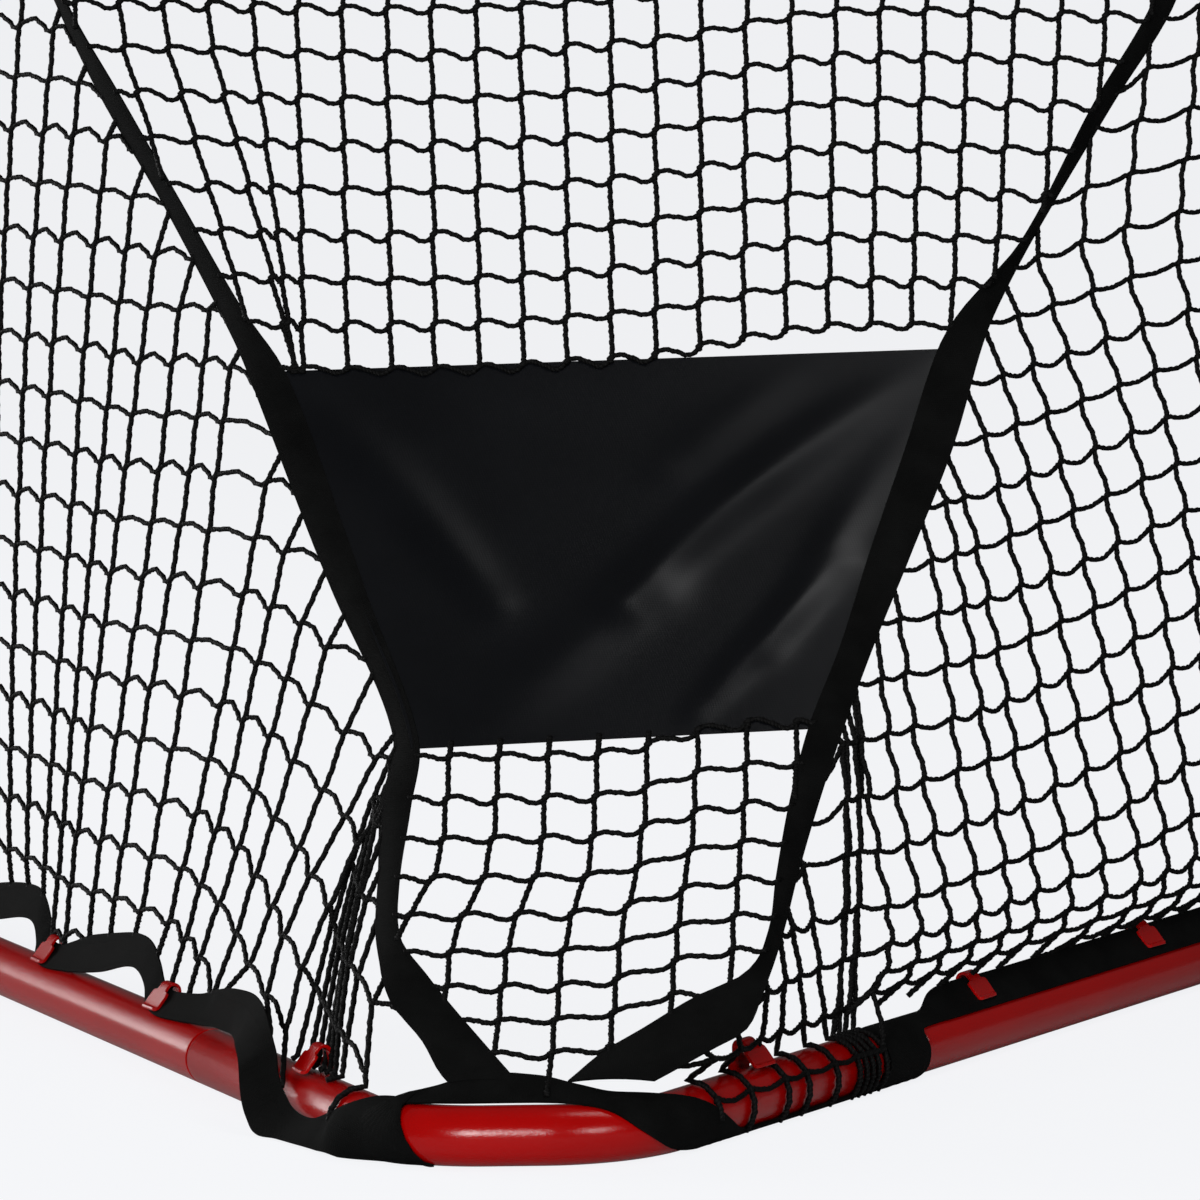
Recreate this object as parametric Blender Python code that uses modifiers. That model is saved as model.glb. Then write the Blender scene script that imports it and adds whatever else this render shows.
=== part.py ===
"""Steel-framed lacrosse goal with a hung net, as an assembly of separate pieces.

Six red steel tubes slip together at six spring-button joints. Welded clips carry the
border tapes, and the tapes carry four nets and a plain vinyl panel at the back.
Metres, +Z up, +Y out of the mouth, rear corner towards -Y. The origin is on the
floor, in the middle of the goal's box.
"""
import math

import bmesh
import bpy
from mathutils import Matrix, Vector

# Mouth and depth
MOUTH_WIDTH = 1.219
MOUTH_HEIGHT = 1.219
GOAL_DEPTH = 1.140

# Tubes and slip joints
TUBE_OD = 0.0381
TUBE_WALL = 0.0016
SLIP_CLEARANCE = 0.0003
SPIGOT_LENGTH = 0.060
SPIGOT_SHOULDER = 0.003
JOINT_GAP = 0.0003
CORNER_BEND_RADIUS = 0.087
CORNER_STRAIGHT = 0.036
CORNER_ARM = 0.300
ELBOW_RADIUS = 0.057
FOOT_RISE = 0.120
HEAD_DROP = 0.100
TUBE_SIDES = 20
BEND_STEP = math.radians(11)

# Spring buttons
BUTTON_INSET = 0.030
BUTTON_RADIUS = 0.0040
BUTTON_HEIGHT = 0.0030
BUTTON_DOME = 0.0012
BUTTON_FLANGE_RADIUS = 0.0058
BUTTON_FLANGE = 0.0010
BUTTON_HOLE_CLEARANCE = 0.0004
SPRING_WIDTH = 0.0080
SPRING_THICKNESS = 0.0008
SPRING_REACH = 0.034
SPRING_BEND = 0.0050
SPRING_TAIL = 0.006

# Welded clips
CLIP_WIDTH = 0.024
CLIP_NECK = 0.012
CLIP_LIP = 0.022
CLIP_SHEET = 0.0020
CLIP_HEIGHT = 0.0145
CLIP_REACH = 0.0115
CLIP_PLATE_SET = 0.0085
CLIP_LIP_FLARE = 0.0025
CORNER_CLIP_AT = 0.098

# Clip places as shares of the rail's length, the mouth's height and half the mouth's width
RAIL_CLIP_SHARES = (0.3295, 0.5354, 0.7289, 0.9225)
POST_CLIP_SHARES = (0.1477, 0.3527, 0.5578, 0.7629)
CROSSBAR_CLIP_SHARES = (-0.7876, -0.3938, 0.0, 0.3938, 0.7876)

# Tapes
FIT_GAP = 0.0003
SEW_GAP = 0.0006
BACK_SEW = 0.0023
LOWER_SEW = 0.0031
TAPE_WIDTH = 0.0254
TAPE_THICKNESS = 0.0015
TAPE_STEP = 0.016
TAPE_TURN_STEP = math.radians(30)
TAPE_POINTS = 5
TAPE_LEAN = math.radians(38)
TAPE_SETTLE = 0.055
TAPE_GRIP = 0.25
TAPE_CLIP_MARGIN = 0.002
POST_TAPE_FOOT = 0.085
POST_TAPE_HEAD = 0.055
TAPE_SEAT = 0.0008
TAPE_LIFT = 0.0010
TAPE_FOOT = 0.0020
LEFT_HUMP = 0.020
HUMP_FULLNESS = 0.8
SEAM_WIDTH = 0.0254
SEAM_TILT = 1.25
SEAM_FLAT_Z = 0.070
SEAM_TILT_RUN = 0.120

# Border tape over the rear arms: where it crosses the tube and the height it runs at
WRAP_AT = 0.303
WRAP_TOP = math.radians(95)
WRAP_LOW = math.radians(-26)
REAR_TOP = math.radians(92)
LEFT_CLIMB = (-0.020, -0.085)
RIGHT_CLIMB = (0.020, -0.070)

# Nets and panel
CORD = 0.0050
NET_CELL = 0.095
LOWER_NET_CELL = 0.052
SLIVER = 0.30
LEFT_NET_START = -0.040
RIGHT_NET_START = -0.010
NET_SKIN_ANGLE = math.radians(62)
NET_SKIN_LIFT = 0.0082
NET_CLIP_CLEAR = 0.048
LOWER_ROWS = 4
PANEL_ROWS = 3
UPPER_ROWS = 8
PANEL_BOTTOM_Z = 0.227
PANEL_TOP_Z = 0.460
PANEL_THICKNESS = 0.0012
PANEL_COLUMNS = 6
PANEL_BILLOW = 0.006

# Profile of the sagging back net: distance in front of the rear tube's axis, height
BACK_PROFILE = (
    (0.000, 0.0430), (0.153, 0.117), (0.294, 0.212),
    (0.529, 0.443), (0.722, 0.686), (1.097, 1.2245),
)
# Seam tapes: height, left x, right x. The net hangs a little to the right.
SEAM_STATIONS = (
    (0.048, -0.022, 0.042), (0.070, -0.046, 0.100), (0.103, -0.080, 0.148),
    (0.160, -0.098, 0.161), (0.227, -0.096, 0.182), (0.314, -0.140, 0.214),
    (0.460, -0.212, 0.267), (0.560, -0.280, 0.331), (0.700, -0.368, 0.412),
    (1.2245, -0.594, 0.594),
)

# Values that follow
RADIUS = TUBE_OD / 2
SPIGOT_RADIUS = RADIUS - TUBE_WALL - SLIP_CLEARANCE
SPIGOT_BORE = SPIGOT_RADIUS - TUBE_WALL
POST_X = MOUTH_WIDTH / 2 + RADIUS
REAR_Y = -GOAL_DEPTH / 2
POST_Y = GOAL_DEPTH / 2
CROSSBAR_Z = MOUTH_HEIGHT + RADIUS
POST_CLIPS = tuple(share * MOUTH_HEIGHT for share in POST_CLIP_SHARES)
CROSSBAR_CLIPS = tuple(share * MOUTH_WIDTH / 2 for share in CROSSBAR_CLIP_SHARES)
LEFT, RIGHT = -1, 1
SIDE_NAMES = {LEFT: "left", RIGHT: "right"}
UP = Vector((0, 0, 1))
FORWARD = Vector((0, 1, 0))

RED = ((0.42, 0.012, 0.014, 1.0), 0.32, 0.0)
STEEL = ((0.62, 0.63, 0.64, 1.0), 0.28, 1.0)
ZINC = ((0.45, 0.46, 0.47, 1.0), 0.40, 1.0)
BLACK_WEBBING = ((0.010, 0.010, 0.011, 1.0), 0.85, 0.0)
BLACK_CORD = ((0.008, 0.008, 0.009, 1.0), 0.80, 0.0)
BLACK_VINYL = ((0.012, 0.012, 0.014, 1.0), 0.42, 0.0)


def clear_scene():
    for old in list(bpy.data.objects):
        bpy.data.objects.remove(old, do_unlink=True)


def collection(name):
    made = bpy.data.collections.new(name)
    bpy.context.scene.collection.children.link(made)
    return made


def material(name, look):
    colour, roughness, metallic = look
    made = bpy.data.materials.new(name)
    made.use_nodes = True
    shader = made.node_tree.nodes["Principled BSDF"]
    shader.inputs["Base Color"].default_value = colour
    shader.inputs["Roughness"].default_value = roughness
    shader.inputs["Metallic"].default_value = metallic
    made.diffuse_color = colour
    return made


def add_object(name, mesh, look, matrix=None):
    made = bpy.data.objects.new(name, mesh)
    GOAL.objects.link(made)
    mesh.materials.append(material(name + "_finish", look))
    if matrix is not None:
        made.matrix_world = matrix
    return made


def mesh_from(bm, name):
    bmesh.ops.recalc_face_normals(bm, faces=bm.faces)
    mesh = bpy.data.meshes.new(name)
    bm.to_mesh(mesh)
    bm.free()
    return mesh


def solidify(obj, thickness, offset):
    shell = obj.modifiers.new("thickness", "SOLIDIFY")
    shell.thickness = thickness
    shell.offset = offset
    shell.use_even_offset = True
    return shell


def frame_matrix(origin, x_axis, y_axis, z_axis):
    turn = Matrix((x_axis, y_axis, z_axis)).transposed()
    return Matrix.Translation(origin) @ turn.to_4x4()


def smooth(value):
    value = min(max(value, 0.0), 1.0)
    return value * value * (3 - 2 * value)


def curve_through(stations, at, column):
    """Value of a column at a height or distance, on a smooth curve through the stations."""
    last = len(stations) - 2
    index = 0
    while index < last and stations[index + 1][0] < at:
        index += 1
    x0, x1 = stations[index][0], stations[index + 1][0]
    y0, y1 = stations[index][column], stations[index + 1][column]

    def slope(k):
        a = max(k - 1, 0)
        b = min(k + 1, len(stations) - 1)
        return (stations[b][column] - stations[a][column]) / (stations[b][0] - stations[a][0])

    span = x1 - x0
    t = (at - x0) / span
    m0, m1 = slope(index) * span, slope(index + 1) * span
    return ((2 * t**3 - 3 * t**2 + 1) * y0 + (t**3 - 2 * t**2 + t) * m0
            + (3 * t**2 - 2 * t**3) * y1 + (t**3 - t**2) * m1)


# Ground frame: a V whose rear corner has two bends and a short straight

def ground_angle():
    """Half angle of the ground V, from the mouth, the depth and the rear bends."""
    angle = math.radians(25)
    for _ in range(40):
        turn = math.pi / 2 - angle
        x = CORNER_STRAIGHT / 2 + CORNER_BEND_RADIUS * math.sin(turn)
        y = CORNER_BEND_RADIUS * (1 - math.cos(turn))
        angle = math.atan2(POST_X - x, GOAL_DEPTH - y)
    return angle


GROUND_ANGLE = ground_angle()
BEND_TURN = math.pi / 2 - GROUND_ANGLE
BEND_ARC = BEND_TURN * CORNER_BEND_RADIUS


def ground_frame(side, at):
    """Axis point, direction forward along the rail and outward normal.

    at is the distance from the end of the rear bend, negative inside the bend.
    """
    if at >= 0:
        along = Vector((side * math.sin(GROUND_ANGLE), math.cos(GROUND_ANGLE), 0))
        x = CORNER_STRAIGHT / 2 + CORNER_BEND_RADIUS * math.sin(BEND_TURN)
        y = CORNER_BEND_RADIUS * (1 - math.cos(BEND_TURN))
        start = Vector((side * x, REAR_Y + y, RADIUS))
        return start + along * at, along, Vector((along.y * side, -along.x * side, 0))
    if at >= -BEND_ARC:
        turn = BEND_TURN + at / CORNER_BEND_RADIUS
        along = Vector((side * math.cos(turn), math.sin(turn), 0))
        x = CORNER_STRAIGHT / 2 + CORNER_BEND_RADIUS * math.sin(turn)
        y = CORNER_BEND_RADIUS * (1 - math.cos(turn))
        outward = Vector((along.y * side, -along.x * side, 0))
        return Vector((side * x, REAR_Y + y, RADIUS)), along, outward
    x = CORNER_STRAIGHT / 2 + (at + BEND_ARC)
    return Vector((side * x, REAR_Y, RADIUS)), Vector((side, 0, 0)), Vector((0, -1, 0))


def rail_length():
    start = ground_frame(RIGHT, 0)[0]
    return (Vector((POST_X, POST_Y, RADIUS)) - start).length


RAIL_END = rail_length()
RAIL_CLIPS = tuple(share * RAIL_END for share in RAIL_CLIP_SHARES)


def bend_points(centre, radius, from_dir, to_dir):
    """Arc points from centre + radius * from_dir round to centre + radius * to_dir."""
    steps = max(4, round((math.pi / 2) / BEND_STEP))
    points = []
    for k in range(steps + 1):
        turn = math.pi / 2 * k / steps
        points.append(centre + (from_dir * math.cos(turn) + to_dir * math.sin(turn)) * radius)
    return points


def tube(name, stations):
    """Hollow tube swept through (point, outer radius) stations, open at both ends."""
    curve = bpy.data.curves.new(name + "_path", "CURVE")
    curve.dimensions = "3D"
    curve.bevel_depth = RADIUS
    curve.bevel_resolution = TUBE_SIDES // 2 - 2
    curve.use_fill_caps = False
    spline = curve.splines.new("POLY")
    spline.points.add(len(stations) - 1)
    for point, (place, radius) in zip(spline.points, stations):
        point.co = (*place, 1)
        point.radius = radius / RADIUS
    path = bpy.data.objects.new(name + "_path", curve)
    GOAL.objects.link(path)
    depsgraph = bpy.context.evaluated_depsgraph_get()
    mesh = bpy.data.meshes.new_from_object(path.evaluated_get(depsgraph))
    mesh.name = name
    bpy.data.objects.remove(path)
    mesh.shade_smooth()
    mesh.set_sharp_from_angle(angle=math.radians(35))
    made = add_object(name, mesh, RED)
    solidify(made, TUBE_WALL, -1)
    return made


def spigot(end, along):
    """Stations of a swaged male end that starts at end and runs along."""
    return [
        (end, RADIUS),
        (end + along * SPIGOT_SHOULDER, SPIGOT_RADIUS),
        (end + along * SPIGOT_LENGTH, SPIGOT_RADIUS),
    ]


def drill(obj, label, centre, outward):
    """Hole for a spring button through the tube wall on the outward side."""
    bm = bmesh.new()
    depth = RADIUS
    radius = BUTTON_RADIUS + BUTTON_HOLE_CLEARANCE
    bmesh.ops.create_cone(bm, cap_ends=True, segments=16, radius1=radius, radius2=radius,
                          depth=depth)
    mesh = mesh_from(bm, label)
    cutter = bpy.data.objects.new(label, mesh)
    CUTTERS.objects.link(cutter)
    turn = Vector((0, 0, 1)).rotation_difference(outward).to_matrix().to_4x4()
    cutter.matrix_world = Matrix.Translation(centre + outward * (depth / 2 + RADIUS / 2)) @ turn
    cutter.hide_render = True
    cutter.display_type = "WIRE"
    hole = obj.modifiers.new(label, "BOOLEAN")
    hole.operation = "DIFFERENCE"
    hole.object = cutter


def make_rear_corner():
    left_arm = spigot(*arm_end(LEFT))
    stations = list(reversed(left_arm))
    step = BEND_STEP * CORNER_BEND_RADIUS
    count = math.ceil(BEND_ARC / step)
    for k in range(count + 1):
        stations.append((ground_frame(LEFT, -BEND_ARC * k / count)[0], RADIUS))
    for k in range(count, -1, -1):
        stations.append((ground_frame(RIGHT, -BEND_ARC * k / count)[0], RADIUS))
    stations += spigot(*arm_end(RIGHT))
    return tube("rear_corner_tube", stations)


def arm_end(side):
    return ground_frame(side, CORNER_ARM)[:2]


def make_ground_rail(side):
    name = SIDE_NAMES[side] + "_ground_rail"
    start, along, _ = ground_frame(side, CORNER_ARM + SPIGOT_SHOULDER + JOINT_GAP)
    foot = Vector((side * POST_X, POST_Y, RADIUS))
    centre = foot - along * ELBOW_RADIUS + UP * ELBOW_RADIUS
    stations = [(start, RADIUS)]
    stations += [(p, RADIUS) for p in bend_points(centre, ELBOW_RADIUS, -UP, along)]
    stations += spigot(Vector((foot.x, foot.y, FOOT_RISE)), UP)
    return tube(name, stations)


def make_post(side):
    name = SIDE_NAMES[side] + "_post"
    low = Vector((side * POST_X, POST_Y, FOOT_RISE + SPIGOT_SHOULDER + JOINT_GAP))
    high = Vector((side * POST_X, POST_Y, head_joint_z() - SPIGOT_SHOULDER - JOINT_GAP))
    return tube(name, [(low, RADIUS), (high, RADIUS)])


def head_joint_z():
    return CROSSBAR_Z - HEAD_DROP


def make_crossbar():
    stations = []
    for side in (LEFT, RIGHT):
        corner = Vector((side * POST_X, POST_Y, CROSSBAR_Z))
        centre = corner - Vector((side, 0, 0)) * ELBOW_RADIUS - UP * ELBOW_RADIUS
        outward = Vector((side, 0, 0))
        half = [(p, RADIUS) for p in bend_points(centre, ELBOW_RADIUS, UP, outward)]
        half += spigot(Vector((corner.x, corner.y, head_joint_z())), -UP)
        stations = stations + half if side == RIGHT else list(reversed(half))
    return tube("crossbar", stations)


# Spring buttons

def button_seat():
    """Distance from the tube's axis to the top of the button's flange."""
    return math.sqrt(SPIGOT_BORE**2 - BUTTON_FLANGE_RADIUS**2) - FIT_GAP


def make_button(name, centre, outward, deep):
    """Domed button with its flange, turned about the direction that it travels in."""
    seat = button_seat()
    top = RADIUS + BUTTON_HEIGHT
    chamfer = BUTTON_DOME
    profile = [
        (0, top), (BUTTON_RADIUS - chamfer, top - chamfer * 0.15), (BUTTON_RADIUS, top - chamfer),
        (BUTTON_RADIUS, seat), (BUTTON_FLANGE_RADIUS, seat),
        (BUTTON_FLANGE_RADIUS, seat - BUTTON_FLANGE), (0, seat - BUTTON_FLANGE),
    ]
    bm = bmesh.new()
    verts = [bm.verts.new((x, 0, z)) for x, z in profile]
    for a, b in zip(verts, verts[1:]):
        bm.edges.new((a, b))
    mesh = bpy.data.meshes.new(name)
    bm.to_mesh(mesh)
    bm.free()
    made = add_object(name, mesh, STEEL, frame_matrix(centre, outward.cross(deep), -deep, outward))
    screw = made.modifiers.new("turn", "SCREW")
    screw.steps = 12
    screw.render_steps = 12
    screw.use_merge_vertices = True
    screw.merge_threshold = 0.00001
    return made


def spring_path():
    """V-shaped leaf: (distance deeper into the tube, distance towards the button)."""
    upper = button_seat() - BUTTON_FLANGE - FIT_GAP - SPRING_THICKNESS / 2
    half = SPRING_WIDTH / 2
    lower = -(math.sqrt(SPIGOT_BORE**2 - half**2) - FIT_GAP - SPRING_THICKNESS / 2)
    middle = (upper + lower) / 2
    path = [(-SPRING_TAIL, upper), (SPRING_TAIL, upper)]
    for k in range(7):
        turn = math.pi / 2 - math.pi * k / 6
        path.append((SPRING_REACH + SPRING_BEND * math.cos(turn), middle + SPRING_BEND * math.sin(turn)))
    path += [(SPRING_TAIL, lower), (-SPRING_TAIL, lower)]
    return path


def strip_mesh(name, rows, twisted=False):
    """Open sheet through rows of points; each row runs across the strip."""
    bm = bmesh.new()
    grid = [[bm.verts.new(point) for point in row] for row in rows]
    for near, far in zip(grid, grid[1:]):
        for k in range(len(near) - 1):
            bm.faces.new((near[k], near[k + 1], far[k + 1], far[k]))
    if twisted:
        bmesh.ops.triangulate(bm, faces=bm.faces, quad_method="SHORT_EDGE")
    mesh = bpy.data.meshes.new(name)
    bm.to_mesh(mesh)
    bm.free()
    return mesh


def make_spring(name, centre, outward, deep):
    half = SPRING_WIDTH / 2
    rows = [[(-half, d, h), (half, d, h)] for d, h in spring_path()]
    mesh = strip_mesh(name, rows)
    across = deep.cross(outward)
    made = add_object(name, mesh, ZINC, frame_matrix(centre, across, deep, outward))
    solidify(made, SPRING_THICKNESS, 0)
    return made


def joint_places():
    """Name, button centre on the axis, button direction and direction deeper into the male tube."""
    places = []
    for side in (LEFT, RIGHT):
        label = SIDE_NAMES[side]
        centre, along, outward = ground_frame(side, CORNER_ARM + BUTTON_INSET)
        places.append((label + "_rear", centre, -outward, -along))
        sideways = Vector((side, 0, 0))
        low = Vector((side * POST_X, POST_Y, FOOT_RISE + BUTTON_INSET))
        places.append((label + "_foot", low, sideways, -UP))
        high = Vector((side * POST_X, POST_Y, head_joint_z() - BUTTON_INSET))
        places.append((label + "_head", high, sideways, UP))
    return places


# Members: straight stretches that carry clips and a border tape

# Tape across a clip, from its outer edge to the net: towards the lip, above the tube
CLIP_FOLD = ((0.0093, -0.0012), (0.0022, 0.0016), (0.0, 0.0070), (-0.0015, 0.0113), (-0.0055, 0.0090))


class Member:
    """A straight tube with its net side and its lip side."""

    def __init__(self, origin, along, net_side, lip_side, clips, hump):
        self.origin = origin
        self.along = along
        self.net_side = net_side
        self.lip_side = lip_side
        self.clips = clips
        self.hump = hump

    def place(self, at, net, lip):
        return self.origin + self.along * at + self.net_side * net + self.lip_side * lip

    def settle(self, at):
        """0 at a clip, 1 where the tape is free."""
        return smooth(min(abs(at - clip) for clip in self.clips) / TAPE_SETTLE - TAPE_GRIP)

    def rise(self, at):
        """How far the tape bows away from the tube between its clips."""
        below = max([c for c in self.clips if c <= at], default=None)
        above = min([c for c in self.clips if c > at], default=None)
        if below is None or above is None:
            return 0.0
        return self.hump * math.sin(math.pi * (at - below) / (above - below))**HUMP_FULLNESS

    def section(self, at):
        """Tape across the member as (lip, net) pairs, from its outer edge to the net."""
        settle = self.settle(at)
        pairs = []
        for k, (clip_lip, clip_net) in enumerate(CLIP_FOLD):
            reach = TAPE_WIDTH * k / (TAPE_POINTS - 1)
            free_lip = TAPE_FOOT - reach * math.sin(TAPE_LEAN)
            free_net = TAPE_SEAT + self.rise(at) + reach * math.cos(TAPE_LEAN)
            lip = clip_lip + (free_lip - clip_lip) * settle
            net = RADIUS + clip_net + (free_net - clip_net) * settle
            least = RADIUS + TAPE_LIFT + TAPE_THICKNESS / 2
            scale = max(1.0, least / math.hypot(lip, net))
            pairs.append((lip * scale, net * scale))
        return pairs

    def tape_row(self, at):
        return [self.place(at, net, lip) for lip, net in self.section(at)]

    def net_edge(self, at):
        """Where the net's own edge cord lies beside the tape."""
        lip, net = self.section(at)[-1]
        reach = SEW_GAP + CORD / 2
        return self.place(at, net + reach * math.cos(TAPE_LEAN), lip - reach * math.sin(TAPE_LEAN))


def rail_member(side):
    origin, along, outward = ground_frame(side, 0)
    hump = LEFT_HUMP if side == LEFT else 0.0
    return Member(origin, along, UP, outward, RAIL_CLIPS, hump)


def post_member(side):
    origin = Vector((side * POST_X, POST_Y, 0))
    return Member(origin, UP, -FORWARD, Vector((side, 0, 0)), POST_CLIPS, 0.0)


def crossbar_member():
    origin = Vector((0, POST_Y, CROSSBAR_Z))
    return Member(origin, Vector((1, 0, 0)), -FORWARD, UP, CROSSBAR_CLIPS, 0.0)


def between_clips(clips):
    """Tape stations a sixth, a half and five sixths of the way between clips."""
    stations = []
    for near, far in zip(clips, clips[1:]):
        stations += [near + (far - near) * share for share in (1 / 6, 1 / 2, 5 / 6)]
    return stations


def tape_stations(clips, start, end):
    under = CLIP_WIDTH / 2 + TAPE_CLIP_MARGIN
    stations = [start, end] + between_clips(clips)
    stations += [clip + step for clip in clips for step in (-under, under)]
    return sorted(at for at in stations if start <= at <= end)


def clip_blank():
    """Folded clip: (lip-side offset, height off the axis, half width) along the sheet."""
    base = math.sqrt(RADIUS**2 - (CLIP_PLATE_SET - CLIP_SHEET / 2)**2) + FIT_GAP
    top = RADIUS + CLIP_HEIGHT
    back = -CLIP_PLATE_SET
    front = back + CLIP_REACH
    fold = CLIP_SHEET
    wide, neck, lip = CLIP_WIDTH / 2, CLIP_NECK / 2, CLIP_LIP / 2
    tip = RADIUS + TAPE_SEAT + TAPE_THICKNESS
    return [
        (back, base, wide), (back, top - 3 * fold, wide), (back, top - 2 * fold, neck),
        (back + fold * 0.4, top - fold * 0.4, neck), (back + fold * 1.6, top, neck),
        (front - fold * 1.2, top, neck), (front - fold * 0.2, top - fold * 0.6, neck),
        (front, top - 1.6 * fold, lip), (front, tip + 1.6 * fold, lip),
        (front + CLIP_LIP_FLARE, tip + 0.6 * fold, lip * 0.8),
    ]


def make_clip(name, member, at):
    rows = [[(-half, lip, height), (half, lip, height)] for lip, height, half in clip_blank()]
    mesh = strip_mesh(name, rows)
    matrix = frame_matrix(member.place(at, 0, 0), member.net_side.cross(member.lip_side) * -1,
                          member.lip_side, member.net_side)
    made = add_object(name, mesh, RED, matrix)
    solidify(made, CLIP_SHEET, 0)
    return made


def make_clips(label, member, places):
    for number, at in enumerate(places, 1):
        make_clip(label + "_clip_" + str(number), member, at)


def make_border_tape(name, member, start, end):
    """Straight border tape that stands on a member between its clips."""
    rows = [member.tape_row(at) for at in tape_stations(member.clips, start, end)]
    made = add_object(name, strip_mesh(name, rows, True), BLACK_WEBBING)
    solidify(made, TAPE_THICKNESS, 0)
    return made


# Ground border tape: stands on the rails, crosses over the rear arms and runs low outside
# them, then climbs onto the top of the rear tube. Its rear part hugs the tube's skin.

TAPE_SKIN = RADIUS + TAPE_LIFT + TAPE_THICKNESS / 2


def on_skin(side, at, angle, reach):
    """Point round the ground tube; angle 0 faces outward, a quarter turn faces up."""
    centre, _, outward = ground_frame(side, at)
    return centre + (outward * math.cos(angle) + UP * math.sin(angle)) * reach


def skin_ribbon(side, path):
    """Rows of a flat tape bent round the tube along a path of (distance, angle) corners."""
    flat = [Vector((at, angle * TAPE_SKIN)) for at, angle in path]
    ways = [(b - a).normalized() for a, b in zip(flat, flat[1:])]
    sides = [Vector((-way.y, way.x)) for way in ways]
    edges = []
    for k, point in enumerate(flat):
        before, after = sides[max(k - 1, 0)], sides[min(k, len(sides) - 1)]
        mitre = (before + after) / (1 + before.dot(after)) * (TAPE_WIDTH / 2)
        edges.append((point + mitre, point - mitre))
    rows = []
    for (a0, b0), (a1, b1) in zip(edges, edges[1:]):
        run = ((a1 + b1) - (a0 + b0)) / 2
        steps = max(1, math.ceil(max(abs(run.x) / TAPE_STEP,
                                     abs(run.y) / TAPE_SKIN / TAPE_TURN_STEP)))
        rows += [(a0.lerp(a1, k / steps), b0.lerp(b1, k / steps)) for k in range(steps)]
    rows.append(edges[-1])
    mapped = []
    for near, far in rows:
        points = [near.lerp(far, k / (TAPE_POINTS - 1)) for k in range(TAPE_POINTS)]
        mapped.append([on_skin(side, p.x, p.y / TAPE_SKIN, TAPE_SKIN) for p in points])
    return mapped


def ground_tape_rows(side):
    """Rows from the front of a rail to the middle of the rear tube."""
    member = rail_member(side)
    upright = tape_stations(RAIL_CLIPS, RAIL_CLIPS[0] - (RAIL_CLIPS[1] - RAIL_CLIPS[0]) / 6,
                            RAIL_END - ELBOW_RADIUS)
    rows = [member.tape_row(at) for at in reversed(upright)]
    low, high = LEFT_CLIMB if side == LEFT else RIGHT_CLIMB
    path = [(WRAP_AT + TAPE_WIDTH * 1.3, WRAP_TOP), (WRAP_AT, WRAP_TOP), (WRAP_AT, WRAP_LOW),
            (low, WRAP_LOW), (high, REAR_TOP), (-BEND_ARC - CORNER_STRAIGHT / 2, REAR_TOP)]
    return rows + skin_ribbon(side, path)


def make_ground_tape():
    rows = ground_tape_rows(LEFT)[:-1] + list(reversed(ground_tape_rows(RIGHT)))
    made = add_object("ground_border_tape", strip_mesh("ground_border_tape", rows, True), BLACK_WEBBING)
    solidify(made, TAPE_THICKNESS, 0)
    return made


# Back net, seam tapes and panel: all break at the same heights, so their edges keep apart

def spread(low, high, count):
    return [low + (high - low) * k / count for k in range(count + 1)]


SEAM_LOW = SEAM_STATIONS[0][0]
SEAM_HIGH = SEAM_STATIONS[-1][0]
BREAKS = (spread(SEAM_LOW, PANEL_BOTTOM_Z, LOWER_ROWS)
          + spread(PANEL_BOTTOM_Z, PANEL_TOP_Z, PANEL_ROWS)[1:]
          + spread(PANEL_TOP_Z, SEAM_HIGH, UPPER_ROWS)[1:])


def profile_y(z):
    stations = [(height, distance) for distance, height in BACK_PROFILE]
    return REAR_Y + curve_through(stations, z, 1)


def seam_point(side, z):
    column = 1 if side == LEFT else 2
    return Vector((curve_through(SEAM_STATIONS, z, column), profile_y(z), z))


def back_tangent(z):
    """Unit vector up along the back net's profile."""
    rise = 0.01
    return Vector((0, profile_y(z + rise) - profile_y(z - rise), 2 * rise)).normalized()


def seam_across(side, z):
    """Unit vector across the seam tape, from the side net to the back net."""
    tangent = (seam_point(side, z + 0.01) - seam_point(side, z - 0.01)).normalized()
    slope = back_tangent(z)
    tilt = SEAM_TILT * smooth((z - SEAM_FLAT_Z) / SEAM_TILT_RUN)
    across = Vector((-side, 0, 0)) + Vector((0, -slope.z, slope.y)) * tilt
    return (across - tangent * across.dot(tangent)).normalized()


def beside_seam(side, z, reach):
    """Point at a distance across from the seam tape's middle, on its straight pieces."""
    index = 0
    while index < len(BREAKS) - 2 and BREAKS[index + 1] < z:
        index += 1
    z0, z1 = BREAKS[index], BREAKS[index + 1]
    low = seam_point(side, z0) + seam_across(side, z0) * reach
    high = seam_point(side, z1) + seam_across(side, z1) * reach
    return low.lerp(high, (z - z0) / (z1 - z0))


def make_seam_tape(side):
    half = SEAM_WIDTH / 2
    rows = [[beside_seam(side, z, reach) for reach in (-half, 0, half)] for z in BREAKS]
    name = SIDE_NAMES[side] + "_seam_tape"
    made = add_object(name, strip_mesh(name, rows, True), BLACK_WEBBING)
    solidify(made, TAPE_THICKNESS, 0)
    return made


def make_panel():
    reach = SEAM_WIDTH / 2 + SEW_GAP + FIT_GAP
    rows = []
    for j, z in enumerate(spread(PANEL_BOTTOM_Z, PANEL_TOP_Z, PANEL_ROWS)):
        left, right = beside_seam(LEFT, z, reach), beside_seam(RIGHT, z, reach)
        slope = back_tangent(z)
        row = []
        for i in range(PANEL_COLUMNS + 1):
            share = i / PANEL_COLUMNS
            billow = PANEL_BILLOW * math.sin(math.pi * share) * math.sin(math.pi * j / PANEL_ROWS)
            row.append(left.lerp(right, share) + Vector((0, slope.z, -slope.y)) * billow)
        rows.append(row)
    made = add_object("back_panel", strip_mesh("back_panel", rows), BLACK_VINYL)
    solidify(made, PANEL_THICKNESS, 0)
    return made


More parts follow.
